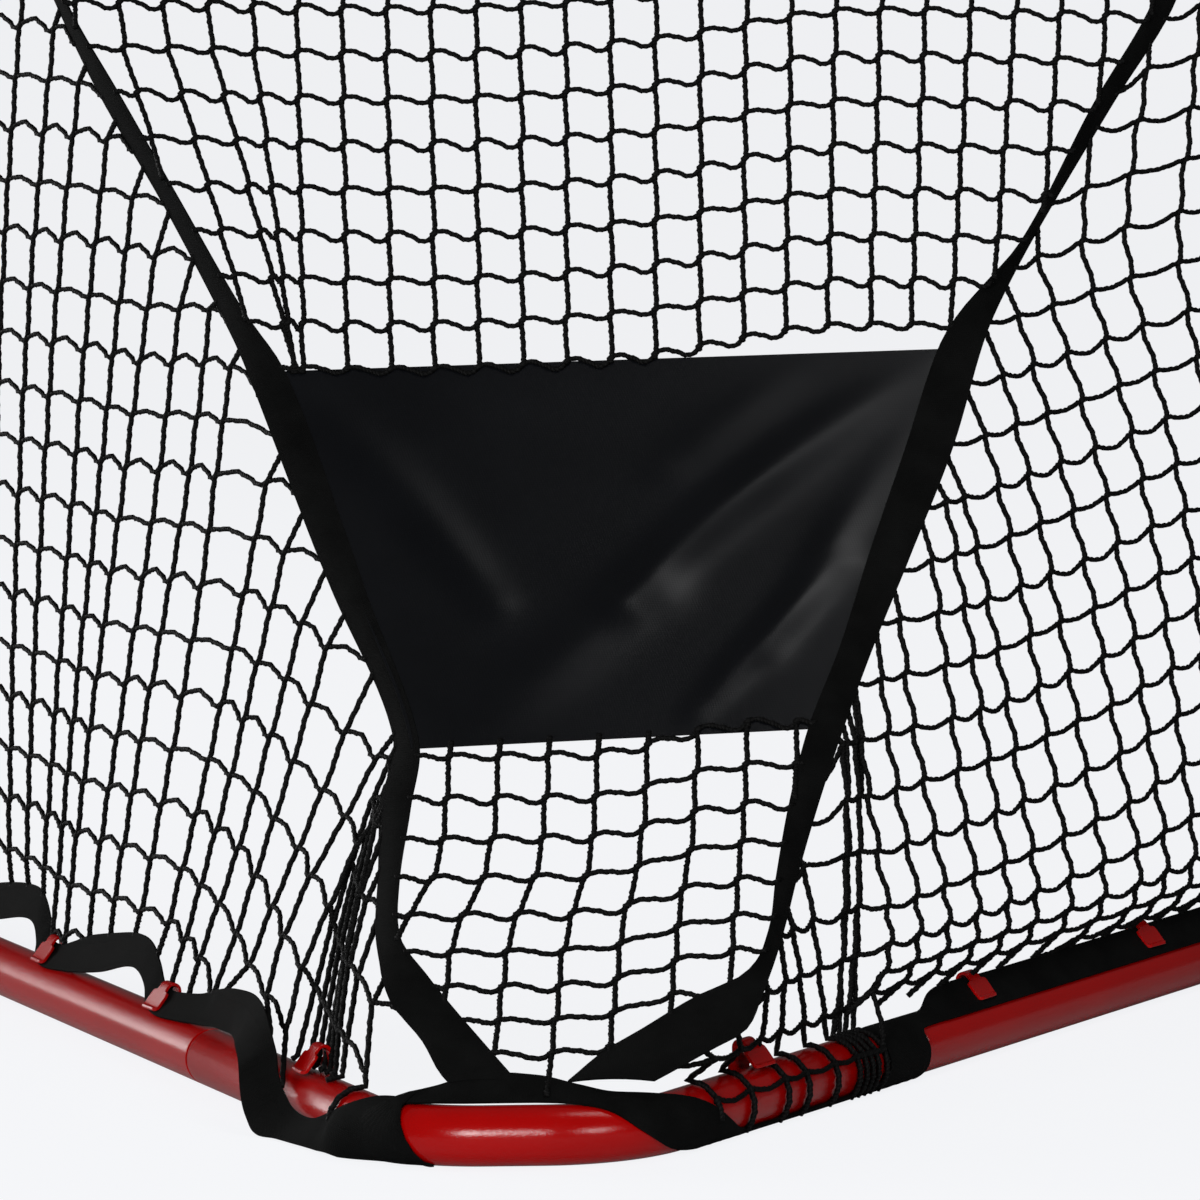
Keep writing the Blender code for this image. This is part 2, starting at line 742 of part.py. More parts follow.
def net_strips(bm, bands):
    """Flat net pattern: each band is (low, high, near line, far line, grid lines)."""
    for low, high, near, far, lines in bands:
        reach = lines[-1] - lines[0]
        size = Matrix.Diagonal((reach, high - low, 1, 1))
        place = Matrix.Translation(((lines[0] + lines[-1]) / 2, (low + high) / 2, 0)) @ size
        made = bmesh.ops.create_grid(bm, x_segments=len(lines) - 1, y_segments=1, size=0.5,
                                     matrix=place)
        geometry = set(made["verts"])
        for (x0, x1), keep in ((near, 1), (far, -1)):
            along = Vector((x1 - x0, high - low, 0)).normalized()
            normal = Vector((along.y, -along.x, 0)) * -keep
            faces = {face for vert in geometry for face in vert.link_faces}
            edges = {edge for face in faces for edge in face.edges}
            whole = list(geometry) + list(edges) + list(faces)
            cut = bmesh.ops.bisect_plane(bm, geom=whole, dist=1e-6, plane_co=(x0, low, 0),
                                         plane_no=normal, clear_outer=True)
            geometry = {item for item in cut["geom"] if isinstance(item, bmesh.types.BMVert)}
            geometry |= {item for item in cut["geom_cut"] if isinstance(item, bmesh.types.BMVert)}
            geometry = {vert for vert in geometry if vert.is_valid}
    bmesh.ops.remove_doubles(bm, verts=bm.verts, dist=1e-5)


def weld_slivers(bm, cell):
    """Draw knots that lie very near the trimmed edge onto it, so no sliver gap is left."""
    edges = sorted((e for e in bm.edges if e.calc_length() < SLIVER * cell),
                   key=lambda e: e.calc_length())
    targets = {}
    used = set()
    for edge in edges:
        a, b = edge.verts
        if a in used or b in used:
            continue
        if b.is_boundary and not a.is_boundary:
            a, b = b, a
        if len(a.link_edges) == 2 and len(b.link_edges) == 2:
            continue
        if len(b.link_edges) == 2:
            a, b = b, a
        targets[b] = a
        used.update((a, b))
    bmesh.ops.weld_verts(bm, targetmap=targets)
    bmesh.ops.dissolve_degenerate(bm, edges=bm.edges, dist=1e-5)


def make_net(name, bands, cell, drape):
    bm = bmesh.new()
    net_strips(bm, bands)
    weld_slivers(bm, cell)
    for vert in bm.verts:
        vert.co = drape(vert.co.x, vert.co.y)
    mesh = mesh_from(bm, name)
    made = add_object(name, mesh, BLACK_CORD)
    cords = made.modifiers.new("cords", "WIREFRAME")
    cords.thickness = CORD
    cords.offset = 0
    cords.use_even_offset = True
    cords.use_boundary = True
    cords.use_replace = True
    return made


def make_back_net(name, heights, cell, sew):
    """Back net through rows at given heights; columns hang straight between the seams."""
    reach = SEAM_WIDTH / 2 + sew
    low, high = heights[0], heights[-1]
    centre = (seam_point(LEFT, low).x + seam_point(RIGHT, low).x) / 2
    half = max(abs(beside_seam(side, z, 0).x - centre) for side in (LEFT, RIGHT) for z in heights)
    columns = math.ceil(half / cell) + 1
    lines = [centre + cell * k for k in range(-columns, columns + 1)]
    bands = []
    for z0, z1 in zip(heights, heights[1:]):
        near = (beside_seam(LEFT, z0, reach).x, beside_seam(LEFT, z1, reach).x)
        far = (beside_seam(RIGHT, z0, reach).x, beside_seam(RIGHT, z1, reach).x)
        bands.append((z0, z1, near, far, lines))

    def drape(x, z):
        left, right = beside_seam(LEFT, z, reach), beside_seam(RIGHT, z, reach)
        return left.lerp(right, (x - left.x) / (right.x - left.x))

    return make_net(name, bands, cell, drape)


def make_back_nets():
    clear = FIT_GAP + CORD / 2 + PANEL_THICKNESS / 2
    low = PANEL_BOTTOM_Z - clear * back_tangent(PANEL_BOTTOM_Z).z
    high = PANEL_TOP_Z + clear * back_tangent(PANEL_TOP_Z).z
    make_back_net("lower_back_net", BREAKS[:LOWER_ROWS] + [low], LOWER_NET_CELL, LOWER_SEW)
    upper = [high] + BREAKS[LOWER_ROWS + PANEL_ROWS + 1:]
    make_back_net("back_net", upper, NET_CELL, BACK_SEW)


def side_net_columns(side):
    """Foot and head of each column: one for every break of the seam tape."""
    member, post = rail_member(side), post_member(side)
    reach = RADIUS + NET_SKIN_LIFT
    start = LEFT_NET_START if side == LEFT else RIGHT_NET_START
    wrapped = [start, CORNER_CLIP_AT - NET_CLIP_CLEAR, CORNER_CLIP_AT + NET_CLIP_CLEAR]
    step = (RAIL_CLIPS[1] - RAIL_CLIPS[0]) / 6
    last_wrapped = RAIL_CLIPS[0] - 3 * step
    wrapped += [(wrapped[-1] + last_wrapped) / 2, last_wrapped]
    standing = [RAIL_CLIPS[0] - step] + between_clips(RAIL_CLIPS)
    standing = standing[:len(BREAKS) - len(wrapped) - 1]
    feet = [on_skin(side, at, NET_SKIN_ANGLE, reach) for at in wrapped]
    feet += [member.net_edge(at) for at in standing]
    edge = post.net_edge(between_clips(POST_CLIPS)[1])
    feet.append(Vector((edge.x, edge.y, member.net_edge(between_clips(RAIL_CLIPS)[-2]).z)))
    beside = -(SEAM_WIDTH / 2 + SEW_GAP + CORD / 2)
    heads = [beside_seam(side, z, beside) for z in BREAKS]
    heads[-1] = Vector((edge.x, edge.y, SEAM_HIGH))
    return feet, heads


def make_side_net(side):
    feet, heads = side_net_columns(side)
    heights = [(head - foot).length for foot, head in zip(feet, heads)]
    places = [0.0]
    for near, far in zip(heads, heads[1:]):
        places.append(places[-1] + abs(far.y - near.y))
    lines = [NET_CELL * k for k in range(math.ceil(max(heights) / NET_CELL) + 1)]
    bands = []
    for k in range(len(places) - 1):
        bands.append((places[k], places[k + 1], (0.0, 0.0), (heights[k], heights[k + 1]), lines))

    def drape(up, at):
        k = 0
        while k < len(places) - 2 and places[k + 1] < at:
            k += 1
        t = (at - places[k]) / (places[k + 1] - places[k])
        low = feet[k].lerp(feet[k + 1], t)
        high = heads[k].lerp(heads[k + 1], t)
        whole = heights[k] + (heights[k + 1] - heights[k]) * t
        return low.lerp(high, min(up / whole, 1.0))

    return make_net(SIDE_NAMES[side] + "_side_net", bands, NET_CELL, drape)


clear_scene()
GOAL = collection("lacrosse_goal")
CUTTERS = collection("cutters")


def make_frame():
    corner = make_rear_corner()
    crossbar = make_crossbar()
    rails = {side: make_ground_rail(side) for side in (LEFT, RIGHT)}
    posts = {side: make_post(side) for side in (LEFT, RIGHT)}
    for label, centre, outward, deep in joint_places():
        side = LEFT if label.startswith("left") else RIGHT
        male, female = {"rear": (corner, rails[side]), "foot": (rails[side], posts[side]),
                        "head": (crossbar, posts[side])}[label.split("_")[1]]
        drill(male, label + "_inner_hole", centre, outward)
        drill(female, label + "_outer_hole", centre, outward)
        make_button(label + "_snap_button", centre, outward, deep)
        make_spring(label + "_button_spring", centre, outward, deep)


def main():
    make_frame()
    for side in (LEFT, RIGHT):
        label = SIDE_NAMES[side]
        rail, post = rail_member(side), post_member(side)
        make_clips(label + "_rail", rail, (CORNER_CLIP_AT,) + RAIL_CLIPS)
        make_clips(label + "_post", post, POST_CLIPS)
        make_border_tape(label + "_post_tape", post, POST_TAPE_FOOT, SEAM_HIGH - POST_TAPE_HEAD)
        make_seam_tape(side)
        make_side_net(side)
    bar = crossbar_member()
    make_clips("crossbar", bar, CROSSBAR_CLIPS)
    make_border_tape("crossbar_tape", bar, ELBOW_RADIUS - POST_X, POST_X - ELBOW_RADIUS)
    make_ground_tape()
    make_panel()
    make_back_nets()


main()
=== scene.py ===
"""Dressing of a steel-tube lacrosse goal, seen from behind, close up on its rear corner.

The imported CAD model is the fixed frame. This script lays smooth powder-coated tubes,
bent clips, woven tapes, knotted cord nets and a vinyl panel over it.
Metres, +Z up, +Y out of the mouth.
"""
import math

import bmesh
import bpy
import numpy as np
from mathutils import Matrix, Vector


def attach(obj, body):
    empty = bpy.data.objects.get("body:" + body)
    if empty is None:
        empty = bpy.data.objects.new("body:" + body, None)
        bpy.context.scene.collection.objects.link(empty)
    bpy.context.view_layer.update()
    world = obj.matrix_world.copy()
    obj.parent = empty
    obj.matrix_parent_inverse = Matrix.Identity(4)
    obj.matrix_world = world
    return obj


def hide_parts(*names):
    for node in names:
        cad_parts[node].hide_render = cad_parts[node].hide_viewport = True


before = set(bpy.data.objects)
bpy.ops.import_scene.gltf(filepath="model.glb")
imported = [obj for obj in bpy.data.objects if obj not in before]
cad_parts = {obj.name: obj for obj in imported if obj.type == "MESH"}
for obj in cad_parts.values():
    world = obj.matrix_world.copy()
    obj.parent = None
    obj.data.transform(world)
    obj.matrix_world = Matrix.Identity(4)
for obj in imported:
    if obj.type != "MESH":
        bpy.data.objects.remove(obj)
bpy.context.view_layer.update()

bl_info = {
    "name": "Lacrosse Goal Dressing",
    "version": (1, 0, 0),
    "blender": (4, 5, 0),
    "location": "3D View > Sidebar > Goal",
    "description": "Tubes, clips, tapes, nets and panel of a lacrosse goal",
    "category": "Object",
}

# Sizes of the goal, as the CAD has them
MOUTH_WIDTH = 1.219
MOUTH_HEIGHT = 1.219
GOAL_DEPTH = 1.140
RADIUS = 0.01905
TUBE_WALL = 0.0016
CORNER_BEND_RADIUS = 0.087
CORNER_STRAIGHT = 0.036
CORNER_ARM = 0.300
ELBOW_RADIUS = 0.057
FOOT_RISE = 0.120
HEAD_DROP = 0.100
SHOULDER = 0.003
SPIGOT_LENGTH = 0.060
SPIGOT_RADIUS = RADIUS - TUBE_WALL - 0.0003
JOINT_GAP = 0.0003
BUTTON_INSET = 0.030
BUTTON_HOLE = 0.0044
POST_X = MOUTH_WIDTH / 2 + RADIUS
REAR_Y = -GOAL_DEPTH / 2
POST_Y = GOAL_DEPTH / 2
CROSSBAR_Z = MOUTH_HEIGHT + RADIUS
HEAD_JOINT_Z = CROSSBAR_Z - HEAD_DROP
CORNER_CLIP_AT = 0.098
RAIL_CLIPS = (0.400, 0.650, 0.885, 1.120)
POST_CLIPS = (0.180, 0.430, 0.680, 0.930)
CROSSBAR_CLIPS = (-0.480, -0.240, 0.0, 0.240, 0.480)
LEFT, RIGHT = -1, 1
SIDE_NAMES = {LEFT: "left", RIGHT: "right"}
UP = Vector((0, 0, 1))

# Back net's profile: distance in front of the rear tube's axis, height
BACK_PROFILE = (
    (0.000, 0.0430), (0.153, 0.117), (0.294, 0.212),
    (0.529, 0.443), (0.722, 0.686), (1.097, 1.2245),
)

# Edges of the seam tapes: height, outer x, inner x, from the bottom up
LEFT_SEAM = (
    (0.0425, -0.030, 0.012), (0.055, -0.048, -0.005), (0.070, -0.062, -0.025), (0.086, -0.083, -0.046),
    (0.100, -0.093, -0.063), (0.120, -0.102, -0.084), (0.150, -0.105, -0.0895), (0.190, -0.108, -0.087),
    (0.230, -0.104, -0.0855), (0.314, -0.150, -0.126), (0.353, -0.170, -0.144), (0.457, -0.221, -0.194),
    (0.500, -0.247, -0.228), (0.570, -0.291, -0.275), (0.640, -0.338, -0.321), (0.707, -0.376, -0.365),
    (0.960, -0.506, -0.494), (1.2245, -0.600, -0.588),
)
RIGHT_SEAM = (
    (0.0425, 0.068, 0.022), (0.052, 0.092, 0.036), (0.064, 0.120, 0.054), (0.073, 0.141, 0.074),
    (0.089, 0.150, 0.108), (0.100, 0.154, 0.138), (0.121, 0.160, 0.151), (0.150, 0.167, 0.154),
    (0.190, 0.179, 0.160), (0.233, 0.194, 0.171), (0.280, 0.212, 0.190), (0.335, 0.236, 0.208),
    (0.400, 0.263, 0.231), (0.463, 0.282, 0.2525), (0.490, 0.293, 0.270), (0.530, 0.3145, 0.308),
    (0.620, 0.371, 0.358), (0.688, 0.415, 0.3995), (0.950, 0.520, 0.507), (1.2245, 0.600, 0.588),
)
PANEL_BOTTOM = (0.225, 0.233)
PANEL_TOP = (0.457, 0.463)

# Edges of the left ground tape from front to rear, in mm: distance along, sideways and height off
# the tube's axis, for the low edge and for the high edge
LEFT_TAPE = (
    (1154, 14.0, 15.5, 1154, -2.0, 33.5), (1120, 14.0, 15.5, 1120, -2.0, 33.5),
    (1060, 6.0, 26.0, 1060, -8.0, 46.0), (1000, 3.0, 30.0, 1000, -9.0, 51.0),
    (940, 6.0, 26.0, 940, -8.0, 46.0), (896, 14.0, 15.5, 896, -2.0, 33.0),
    (873, 13.0, 16.5, 873, -3.0, 34.0), (835, 5.0, 26.0, 835, -8.0, 49.0),
    (780, 1.0, 33.0, 780, -8.0, 59.0), (720, 0.0, 42.0, 720, -9.0, 65.0),
    (690, 0.0, 41.0, 690, -8.0, 62.0), (672, 4.0, 30.0, 672, -7.0, 47.0),
    (660, 9.0, 21.0, 660, -4.0, 35.0), (640, 11.0, 18.0, 640, -4.0, 32.0),
    (612, 9.0, 19.0, 616, -6.0, 37.0), (575, 6.0, 22.0, 585, -8.0, 45.0),
    (530, 3.0, 28.0, 535, -9.0, 53.0), (480, 1.0, 38.0, 480, -9.0, 60.0),
    (452, 1.0, 38.0, 448, -8.0, 58.0), (430, 4.0, 30.0, 426, -6.0, 47.0),
    (412, 9.0, 20.0, 410, -4.0, 35.0), (388, 11.5, 17.5, 390, -4.0, 32.0),
    (350, 9.0, 18.5, 345, -7.0, 36.0), (318, 5.0, 20.0, 318, -8.0, 42.0),
    (292, 3.0, 22.0, 296, -3.0, 46.0), (246, 8.0, 25.0, 238, 5.0, 55.0),
    (195, 21.0, 29.0, 187, 9.0, 58.0), (161, 32.0, 30.5, 145, 16.0, 52.5),
    (132, 40.0, 23.5, 121, 20.0, 38.5), (122, 43.0, 10.5, 110, 21.5, 27.0),
    (109, 44.0, -7.5, 97, 22.5, 10.0), (95, 43.0, -16.5, 82, 22.0, 1.0),
    (78, 36.0, -17.5, 62, 21.5, -2.0), (50, 32.0, -17.5, 38, 21.2, 0.0),
    (22, 28.0, -17.5, 8, 18.5, 9.5), (0, 24.0, -17.5, -10, 12.0, 17.0),
)
# Rear part of the tapes, hugging the tube: distance along in mm and angle in degrees round it,
# 0 facing outward and 90 up, and height off the tube's skin in mm, for the low and the high edge
LEFT_SKIN = (
    (-30, -70, 0, -22, 84, 0), (-66, -72, 0, -34, 104, 0), (-53, -34, 0, -46, 110, 2),
    (-26, 18, 0, -58, 113, 6), (-30, 52, 0, -66, 115, 12), (-58, 78, 0, -82, 117, 18),
    (-90, 88, 0, -100, 118, 20), (-115.3, 90, 0, -115.3, 119, 20),
)
RIGHT_SKIN = (
    (324, 46, 0, 324, 94, 0), (300, 40, 0, 282, 95, 0), (300, 0, 0, 245, 92, 0),
    (300, -45, 0, 244, 40, 0), (288, -68, 0, 244, -20, 0), (244, -80, 0, 226, -40, 0),
    (180, -82, 0, 180, -45, 0), (90, -80, 0, 90, -44, 0), (55, -76, 0, 60, -40, 0),
    (24, -66, 0, 36, -10, 0), (-18, -42, 0, 12, 30, 0), (-42, 2, 0, -20, 74, 0),
    (-60, 50, 0, -46, 106, 3), (-78, 76, 0, -70, 114, 10), (-97, 88, 0, -94, 118, 17),
    (-115.3, 90, 0, -115.3, 119, 20),
)

# Camera of the photograph
CAMERA_PLACE = (0.46973, -5.57, 0.87411)
CAMERA_YAW, CAMERA_PITCH, CAMERA_ROLL = -0.08135, 0.10364, -0.02595
CAMERA_LENS, CAMERA_SENSOR = 245.64, 36.0


class GoalSizes(bpy.types.PropertyGroup):
    mesh_pitch: bpy.props.FloatProperty(
        name="Mesh", description="Distance from knot to knot along a cord", default=0.038, unit="LENGTH")
    column_cord: bpy.props.FloatProperty(
        name="Upright cord", description="Thickness of the upright cords", default=0.0041, unit="LENGTH")
    row_cord: bpy.props.FloatProperty(
        name="Level cord", description="Thickness of the level cords", default=0.0038, unit="LENGTH")
    row_wave: bpy.props.FloatProperty(
        name="Wave", description="Height of the wave in a level cord", default=0.0040, unit="LENGTH")
    tape_width: bpy.props.FloatProperty(
        name="Tape width", description="Width of the webbing", default=0.0254, unit="LENGTH")
    tape_thickness: bpy.props.FloatProperty(
        name="Tape thickness", description="Thickness of the webbing", default=0.0016, unit="LENGTH")
    panel_thickness: bpy.props.FloatProperty(
        name="Panel thickness", description="Thickness of the vinyl", default=0.0012, unit="LENGTH")
    clip_sheet: bpy.props.FloatProperty(
        name="Clip sheet", description="Thickness of the clips' steel", default=0.0020, unit="LENGTH")
    clip_width: bpy.props.FloatProperty(
        name="Clip width", description="Width of a clip along the tube", default=0.0250, unit="LENGTH")
    tube_sides: bpy.props.IntProperty(
        name="Tube sides", description="Facets round a tube", default=64, min=16)


class GoalColours(bpy.types.PropertyGroup):
    coat: bpy.props.FloatVectorProperty(
        name="Powder coat", description="Red of the tubes", default=(0.47, 0.0008, 0.0006),
        subtype="COLOR", min=0, max=1)
    webbing: bpy.props.FloatVectorProperty(
        name="Webbing", description="Black of the tapes", default=(0.0054, 0.0056, 0.0055),
        subtype="COLOR", min=0, max=1)
    cord: bpy.props.FloatVectorProperty(
        name="Cord", description="Black of the net", default=(0.0042, 0.0042, 0.0042),
        subtype="COLOR", min=0, max=1)
    vinyl: bpy.props.FloatVectorProperty(
        name="Vinyl", description="Black of the panel", default=(0.0030, 0.0035, 0.0048),
        subtype="COLOR", min=0, max=1)
    zinc: bpy.props.FloatVectorProperty(
        name="Zinc", description="Plating of the spring buttons", default=(0.62, 0.63, 0.64),
        subtype="COLOR", min=0, max=1)
    steel: bpy.props.FloatVectorProperty(
        name="Spring steel", description="Colour of the leaf springs", default=(0.34, 0.35, 0.36),
        subtype="COLOR", min=0, max=1)
    backdrop: bpy.props.FloatVectorProperty(
        name="Backdrop", description="Pale floor and backdrop", default=(0.888, 0.896, 0.918),
        subtype="COLOR", min=0, max=1)


class GoalStudio(bpy.types.PropertyGroup):
    key: bpy.props.FloatProperty(name="Key", description="Left softbox", default=66.0, unit="POWER")
    fill: bpy.props.FloatProperty(name="Fill", description="Right softbox", default=30.0, unit="POWER")
    top: bpy.props.FloatProperty(name="Top", description="Overhead softbox", default=9.0, unit="POWER")
    edge: bpy.props.FloatProperty(name="Edge", description="Far left reflector", default=74.0, unit="POWER")
    sky: bpy.props.FloatProperty(name="Sky", description="Even light from all round", default=0.07)


# Shared geometry

def smooth(value):
    """Eases from 0 to 1 with no kink at either end."""
    value = min(max(value, 0.0), 1.0)
    return value * value * (3 - 2 * value)


def curve_through(stations, at, column):
    """Value of a column at a height or distance, on a smooth curve through the stations."""
    last = len(stations) - 2
    index = 0
    while index < last and stations[index + 1][0] < at:
        index += 1
    x0, x1 = stations[index][0], stations[index + 1][0]
    y0, y1 = stations[index][column], stations[index + 1][column]

    def slope(k):
        a = max(k - 1, 0)
        b = min(k + 1, len(stations) - 1)
        return (stations[b][column] - stations[a][column]) / (stations[b][0] - stations[a][0])

    span = x1 - x0
    t = (at - x0) / span
    m0, m1 = slope(index) * span, slope(index + 1) * span
    return ((2 * t**3 - 3 * t**2 + 1) * y0 + (t**3 - 2 * t**2 + t) * m0
            + (3 * t**2 - 2 * t**3) * y1 + (t**3 - t**2) * m1)


def through(points, per):
    """Rows of a smooth curve through rows of numbers, with per steps to each span."""
    rows = np.asarray(points, float)
    ends = np.vstack([2 * rows[0] - rows[1], rows, 2 * rows[-1] - rows[-2]])
    made = []
    for k in range(len(rows) - 1):
        a, b, c, d = ends[k:k + 4]
        for t in np.arange(per) / per:
            made.append(0.5 * (2 * b + (c - a) * t + (2 * a - 5 * b + 4 * c - d) * t**2
                               + (3 * b - a - 3 * c + d) * t**3))
    made.append(rows[-1])
    return np.array(made)


def uneven(i, j):
    """Fixed unevenness of the cell in column i and row j, from -1 to 1."""
    return math.sin(i * 12.9898 + j * 78.233)


def ground_angle():
    """Half angle of the ground tubes' V: found by stepping, as the bend's own size depends on it."""
    angle = math.radians(25)
    for _ in range(40):
        turn = math.pi / 2 - angle
        x = CORNER_STRAIGHT / 2 + CORNER_BEND_RADIUS * math.sin(turn)
        y = CORNER_BEND_RADIUS * (1 - math.cos(turn))
        angle = math.atan2(POST_X - x, GOAL_DEPTH - y)
    return angle


GROUND_ANGLE = ground_angle()
BEND_TURN = math.pi / 2 - GROUND_ANGLE
BEND_ARC = BEND_TURN * CORNER_BEND_RADIUS


def ground_frame(side, at):
    """Axis point, direction forward and outward normal, at a distance along the rail."""
    turn = BEND_TURN
    if at < 0:
        turn = max(BEND_TURN + at / CORNER_BEND_RADIUS, 0.0)
    along = Vector((side * math.cos(turn), math.sin(turn), 0))
    outward = Vector((along.y * side, -along.x * side, 0))
    centre = Vector((side * (CORNER_STRAIGHT / 2 + CORNER_BEND_RADIUS * math.sin(turn)),
                     REAR_Y + CORNER_BEND_RADIUS * (1 - math.cos(turn)), RADIUS))
    if at >= 0:
        centre += along * at
    elif at < -BEND_ARC:
        centre += along * (at + BEND_ARC)
    return centre, along, outward


RAIL_END = (Vector((POST_X, POST_Y, RADIUS)) - ground_frame(RIGHT, 0)[0]).length


def on_skin(side, at, angle, reach):
    """Point round the ground tube; angle 0 faces outward, a quarter turn faces up."""
    centre, _, outward = ground_frame(side, at)
    return centre + (outward * math.cos(angle) + UP * math.sin(angle)) * reach


def beside_rail(side, at, sideways, height):
    """Point beside the ground tube, outward and up from its axis."""
    centre, _, outward = ground_frame(side, at)
    return centre + outward * sideways + UP * height


PROFILE_RISE = 0.004
PROFILE_STEP = 0.002
NET_FOOT, NET_TOP = BACK_PROFILE[0][1], BACK_PROFILE[-1][1]


def profile_y(z):
    """Place of the back net on the goal's length at a height."""
    stations = [(height, distance) for distance, height in BACK_PROFILE]
    return REAR_Y + curve_through(stations, z, 1)


def back_tangent(z):
    """Unit vector up the back net."""
    run = profile_y(z + PROFILE_RISE) - profile_y(z - PROFILE_RISE)
    return Vector((0, run, 2 * PROFILE_RISE)).normalized()


def back_normal(z):
    """Unit vector off the back net, towards the rear and up."""
    slope = back_tangent(z)
    return Vector((0, -slope.z, slope.y))


def profile_table():
    """Heights up the back net's profile and the length along it to each."""
    heights = np.arange(NET_FOOT, NET_TOP + PROFILE_STEP, PROFILE_STEP)
    places = np.array([profile_y(z) for z in heights])
    lengths = np.concatenate([[0.0], np.cumsum(np.hypot(np.diff(heights), np.diff(places)))])
    return heights, lengths


HEIGHTS, LENGTHS = profile_table()


def height_at(length):
    """Height at a length up the back net."""
    return float(np.interp(length, LENGTHS, HEIGHTS))


def length_at(z):
    """Length up the back net to a height."""
    return float(np.interp(z, HEIGHTS, LENGTHS))


# Mesh helpers

def apply_modifiers(obj):
    """Gives a piece the mesh that its modifiers make of it."""
    bpy.context.view_layer.update()
    depsgraph = bpy.context.evaluated_depsgraph_get()
    mesh = bpy.data.meshes.new_from_object(obj.evaluated_get(depsgraph))
    obj.modifiers.clear()
    obj.data = mesh
    return mesh


def link_object(name, mesh):
    made = bpy.data.objects.new(name, mesh)
    bpy.context.scene.collection.objects.link(made)
    return made


def dress(obj, finish, slot, *nodes):
    """Gives a piece its finish and its place on the frame, standing for CAD nodes."""
    obj.data.materials.clear()
    obj.data.materials.append(finish)
    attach(obj, "frame")
    if nodes:
        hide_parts(*nodes)
    return obj


def grid_faces(index):
    """Faces of a grid of vertex numbers."""
    return np.stack([index[:-1, :-1], index[:-1, 1:], index[1:, 1:], index[1:, :-1]], -1).reshape(-1, 4)


def grid_mesh(name, grid):
    """Open sheet through a grid of points, with texture coordinates in metres along and across."""
    grid = np.asarray(grid, float)
    rows, columns = grid.shape[:2]
    quads = grid_faces(np.arange(rows * columns).reshape(rows, columns))
    mesh = bpy.data.meshes.new(name)
    mesh.from_pydata(grid.reshape(-1, 3).tolist(), [], quads.tolist())
    middle = grid[:, columns // 2]
    along = np.concatenate([[0.0], np.cumsum(np.linalg.norm(np.diff(middle, axis=0), axis=1))])
    spread = np.linalg.norm(np.diff(grid, axis=1), axis=2)
    across = np.concatenate([np.zeros((rows, 1)), np.cumsum(spread, axis=1)], axis=1)
    uv = np.stack([np.repeat(along[:, None], columns, 1), across], -1).reshape(-1, 2)
    layer = mesh.uv_layers.new(name="UVMap")
    layer.data.foreach_set("uv", uv[quads.reshape(-1)].reshape(-1))
    mesh.shade_smooth()
    return mesh


def sheet_object(name, grid, thickness):
    """Sheet of even thickness about a grid of points."""
    obj = link_object(name, grid_mesh(name, grid))
    shell = obj.modifiers.new("thickness", "SOLIDIFY")
    shell.thickness = thickness
    shell.offset = 0
    shell.use_even_offset = False
    mesh = apply_modifiers(obj)
    mesh.set_sharp_from_angle(angle=math.radians(50))
    return obj


# Finishes

RIB_PITCH, WARP_PITCH = 0.0016, 0.0012
STITCH_INSET, STITCH_PITCH = 0.0032, 0.0034
STITCH_HALF_WIDTH = (0.0003, 0.0007)
PLY_LAY, PLIES = 0.0081, 3
SCRIM_PITCH = 0.0018


class Nodes:
    """Short way to write a finish as a node tree."""

    def __init__(self, name):
        self.finish = bpy.data.materials.new(name)
        self.finish.use_nodes = True
        self.tree = self.finish.node_tree
        self.shader = self.tree.nodes["Principled BSDF"]

    def add(self, kind, inputs=None, **settings):
        node = self.tree.nodes.new("ShaderNode" + kind)
        for key, value in settings.items():
            setattr(node, key, value)
        for key, value in (inputs or {}).items():
            self.put(node, key, value)
        return node

    def put(self, node, key, value):
        if isinstance(value, bpy.types.NodeSocket):
            self.tree.links.new(value, node.inputs[key])
        else:
            node.inputs[key].default_value = value

    def maths(self, operation, *values):
        node = self.add("Math", operation=operation)
        for key, value in enumerate(values):
            self.put(node, key, value)
        return node.outputs[0]

    def ramp(self, factor, low, high, low_at=0.0, high_at=1.0):
        node = self.add("ValToRGB", {"Fac": factor})
        ends = node.color_ramp.elements
        ends[0].position, ends[0].color = low_at, (*low, 1)
        ends[1].position, ends[1].color = high_at, (*high, 1)
        return node.outputs["Color"]

    def span(self, factor, low, high, from_low=0.0, from_high=1.0):
        node = self.add("MapRange", {"Value": factor, "From Min": from_low, "From Max": from_high,
                                     "To Min": low, "To Max": high})
        return node.outputs["Result"]

    def noise(self, scale, detail=2.0, vector=None, roughness=0.5):
        inputs = {"Scale": scale, "Detail": detail, "Roughness": roughness}
        if vector is not None:
            inputs["Vector"] = vector
        return self.add("TexNoise", inputs).outputs["Fac"]

    def bump(self, height, distance, strength=1.0, before=None):
        inputs = {"Height": height, "Distance": distance, "Strength": strength}
        if before is not None:
            inputs["Normal"] = before
        return self.add("Bump", inputs).outputs["Normal"]

    def ripple(self, length, pitch):
        """Sine of a length, with one wave to each pitch."""
        return self.maths("SINE", self.maths("MULTIPLY", length, 2 * math.pi / pitch))

    def set(self, **values):
        for key, value in values.items():
            self.put(self.shader, key.replace("_", " "), value)


def tint(colour, factor):
    """A colour made darker or lighter."""
    return tuple(min(channel * factor, 1.0) for channel in colour)


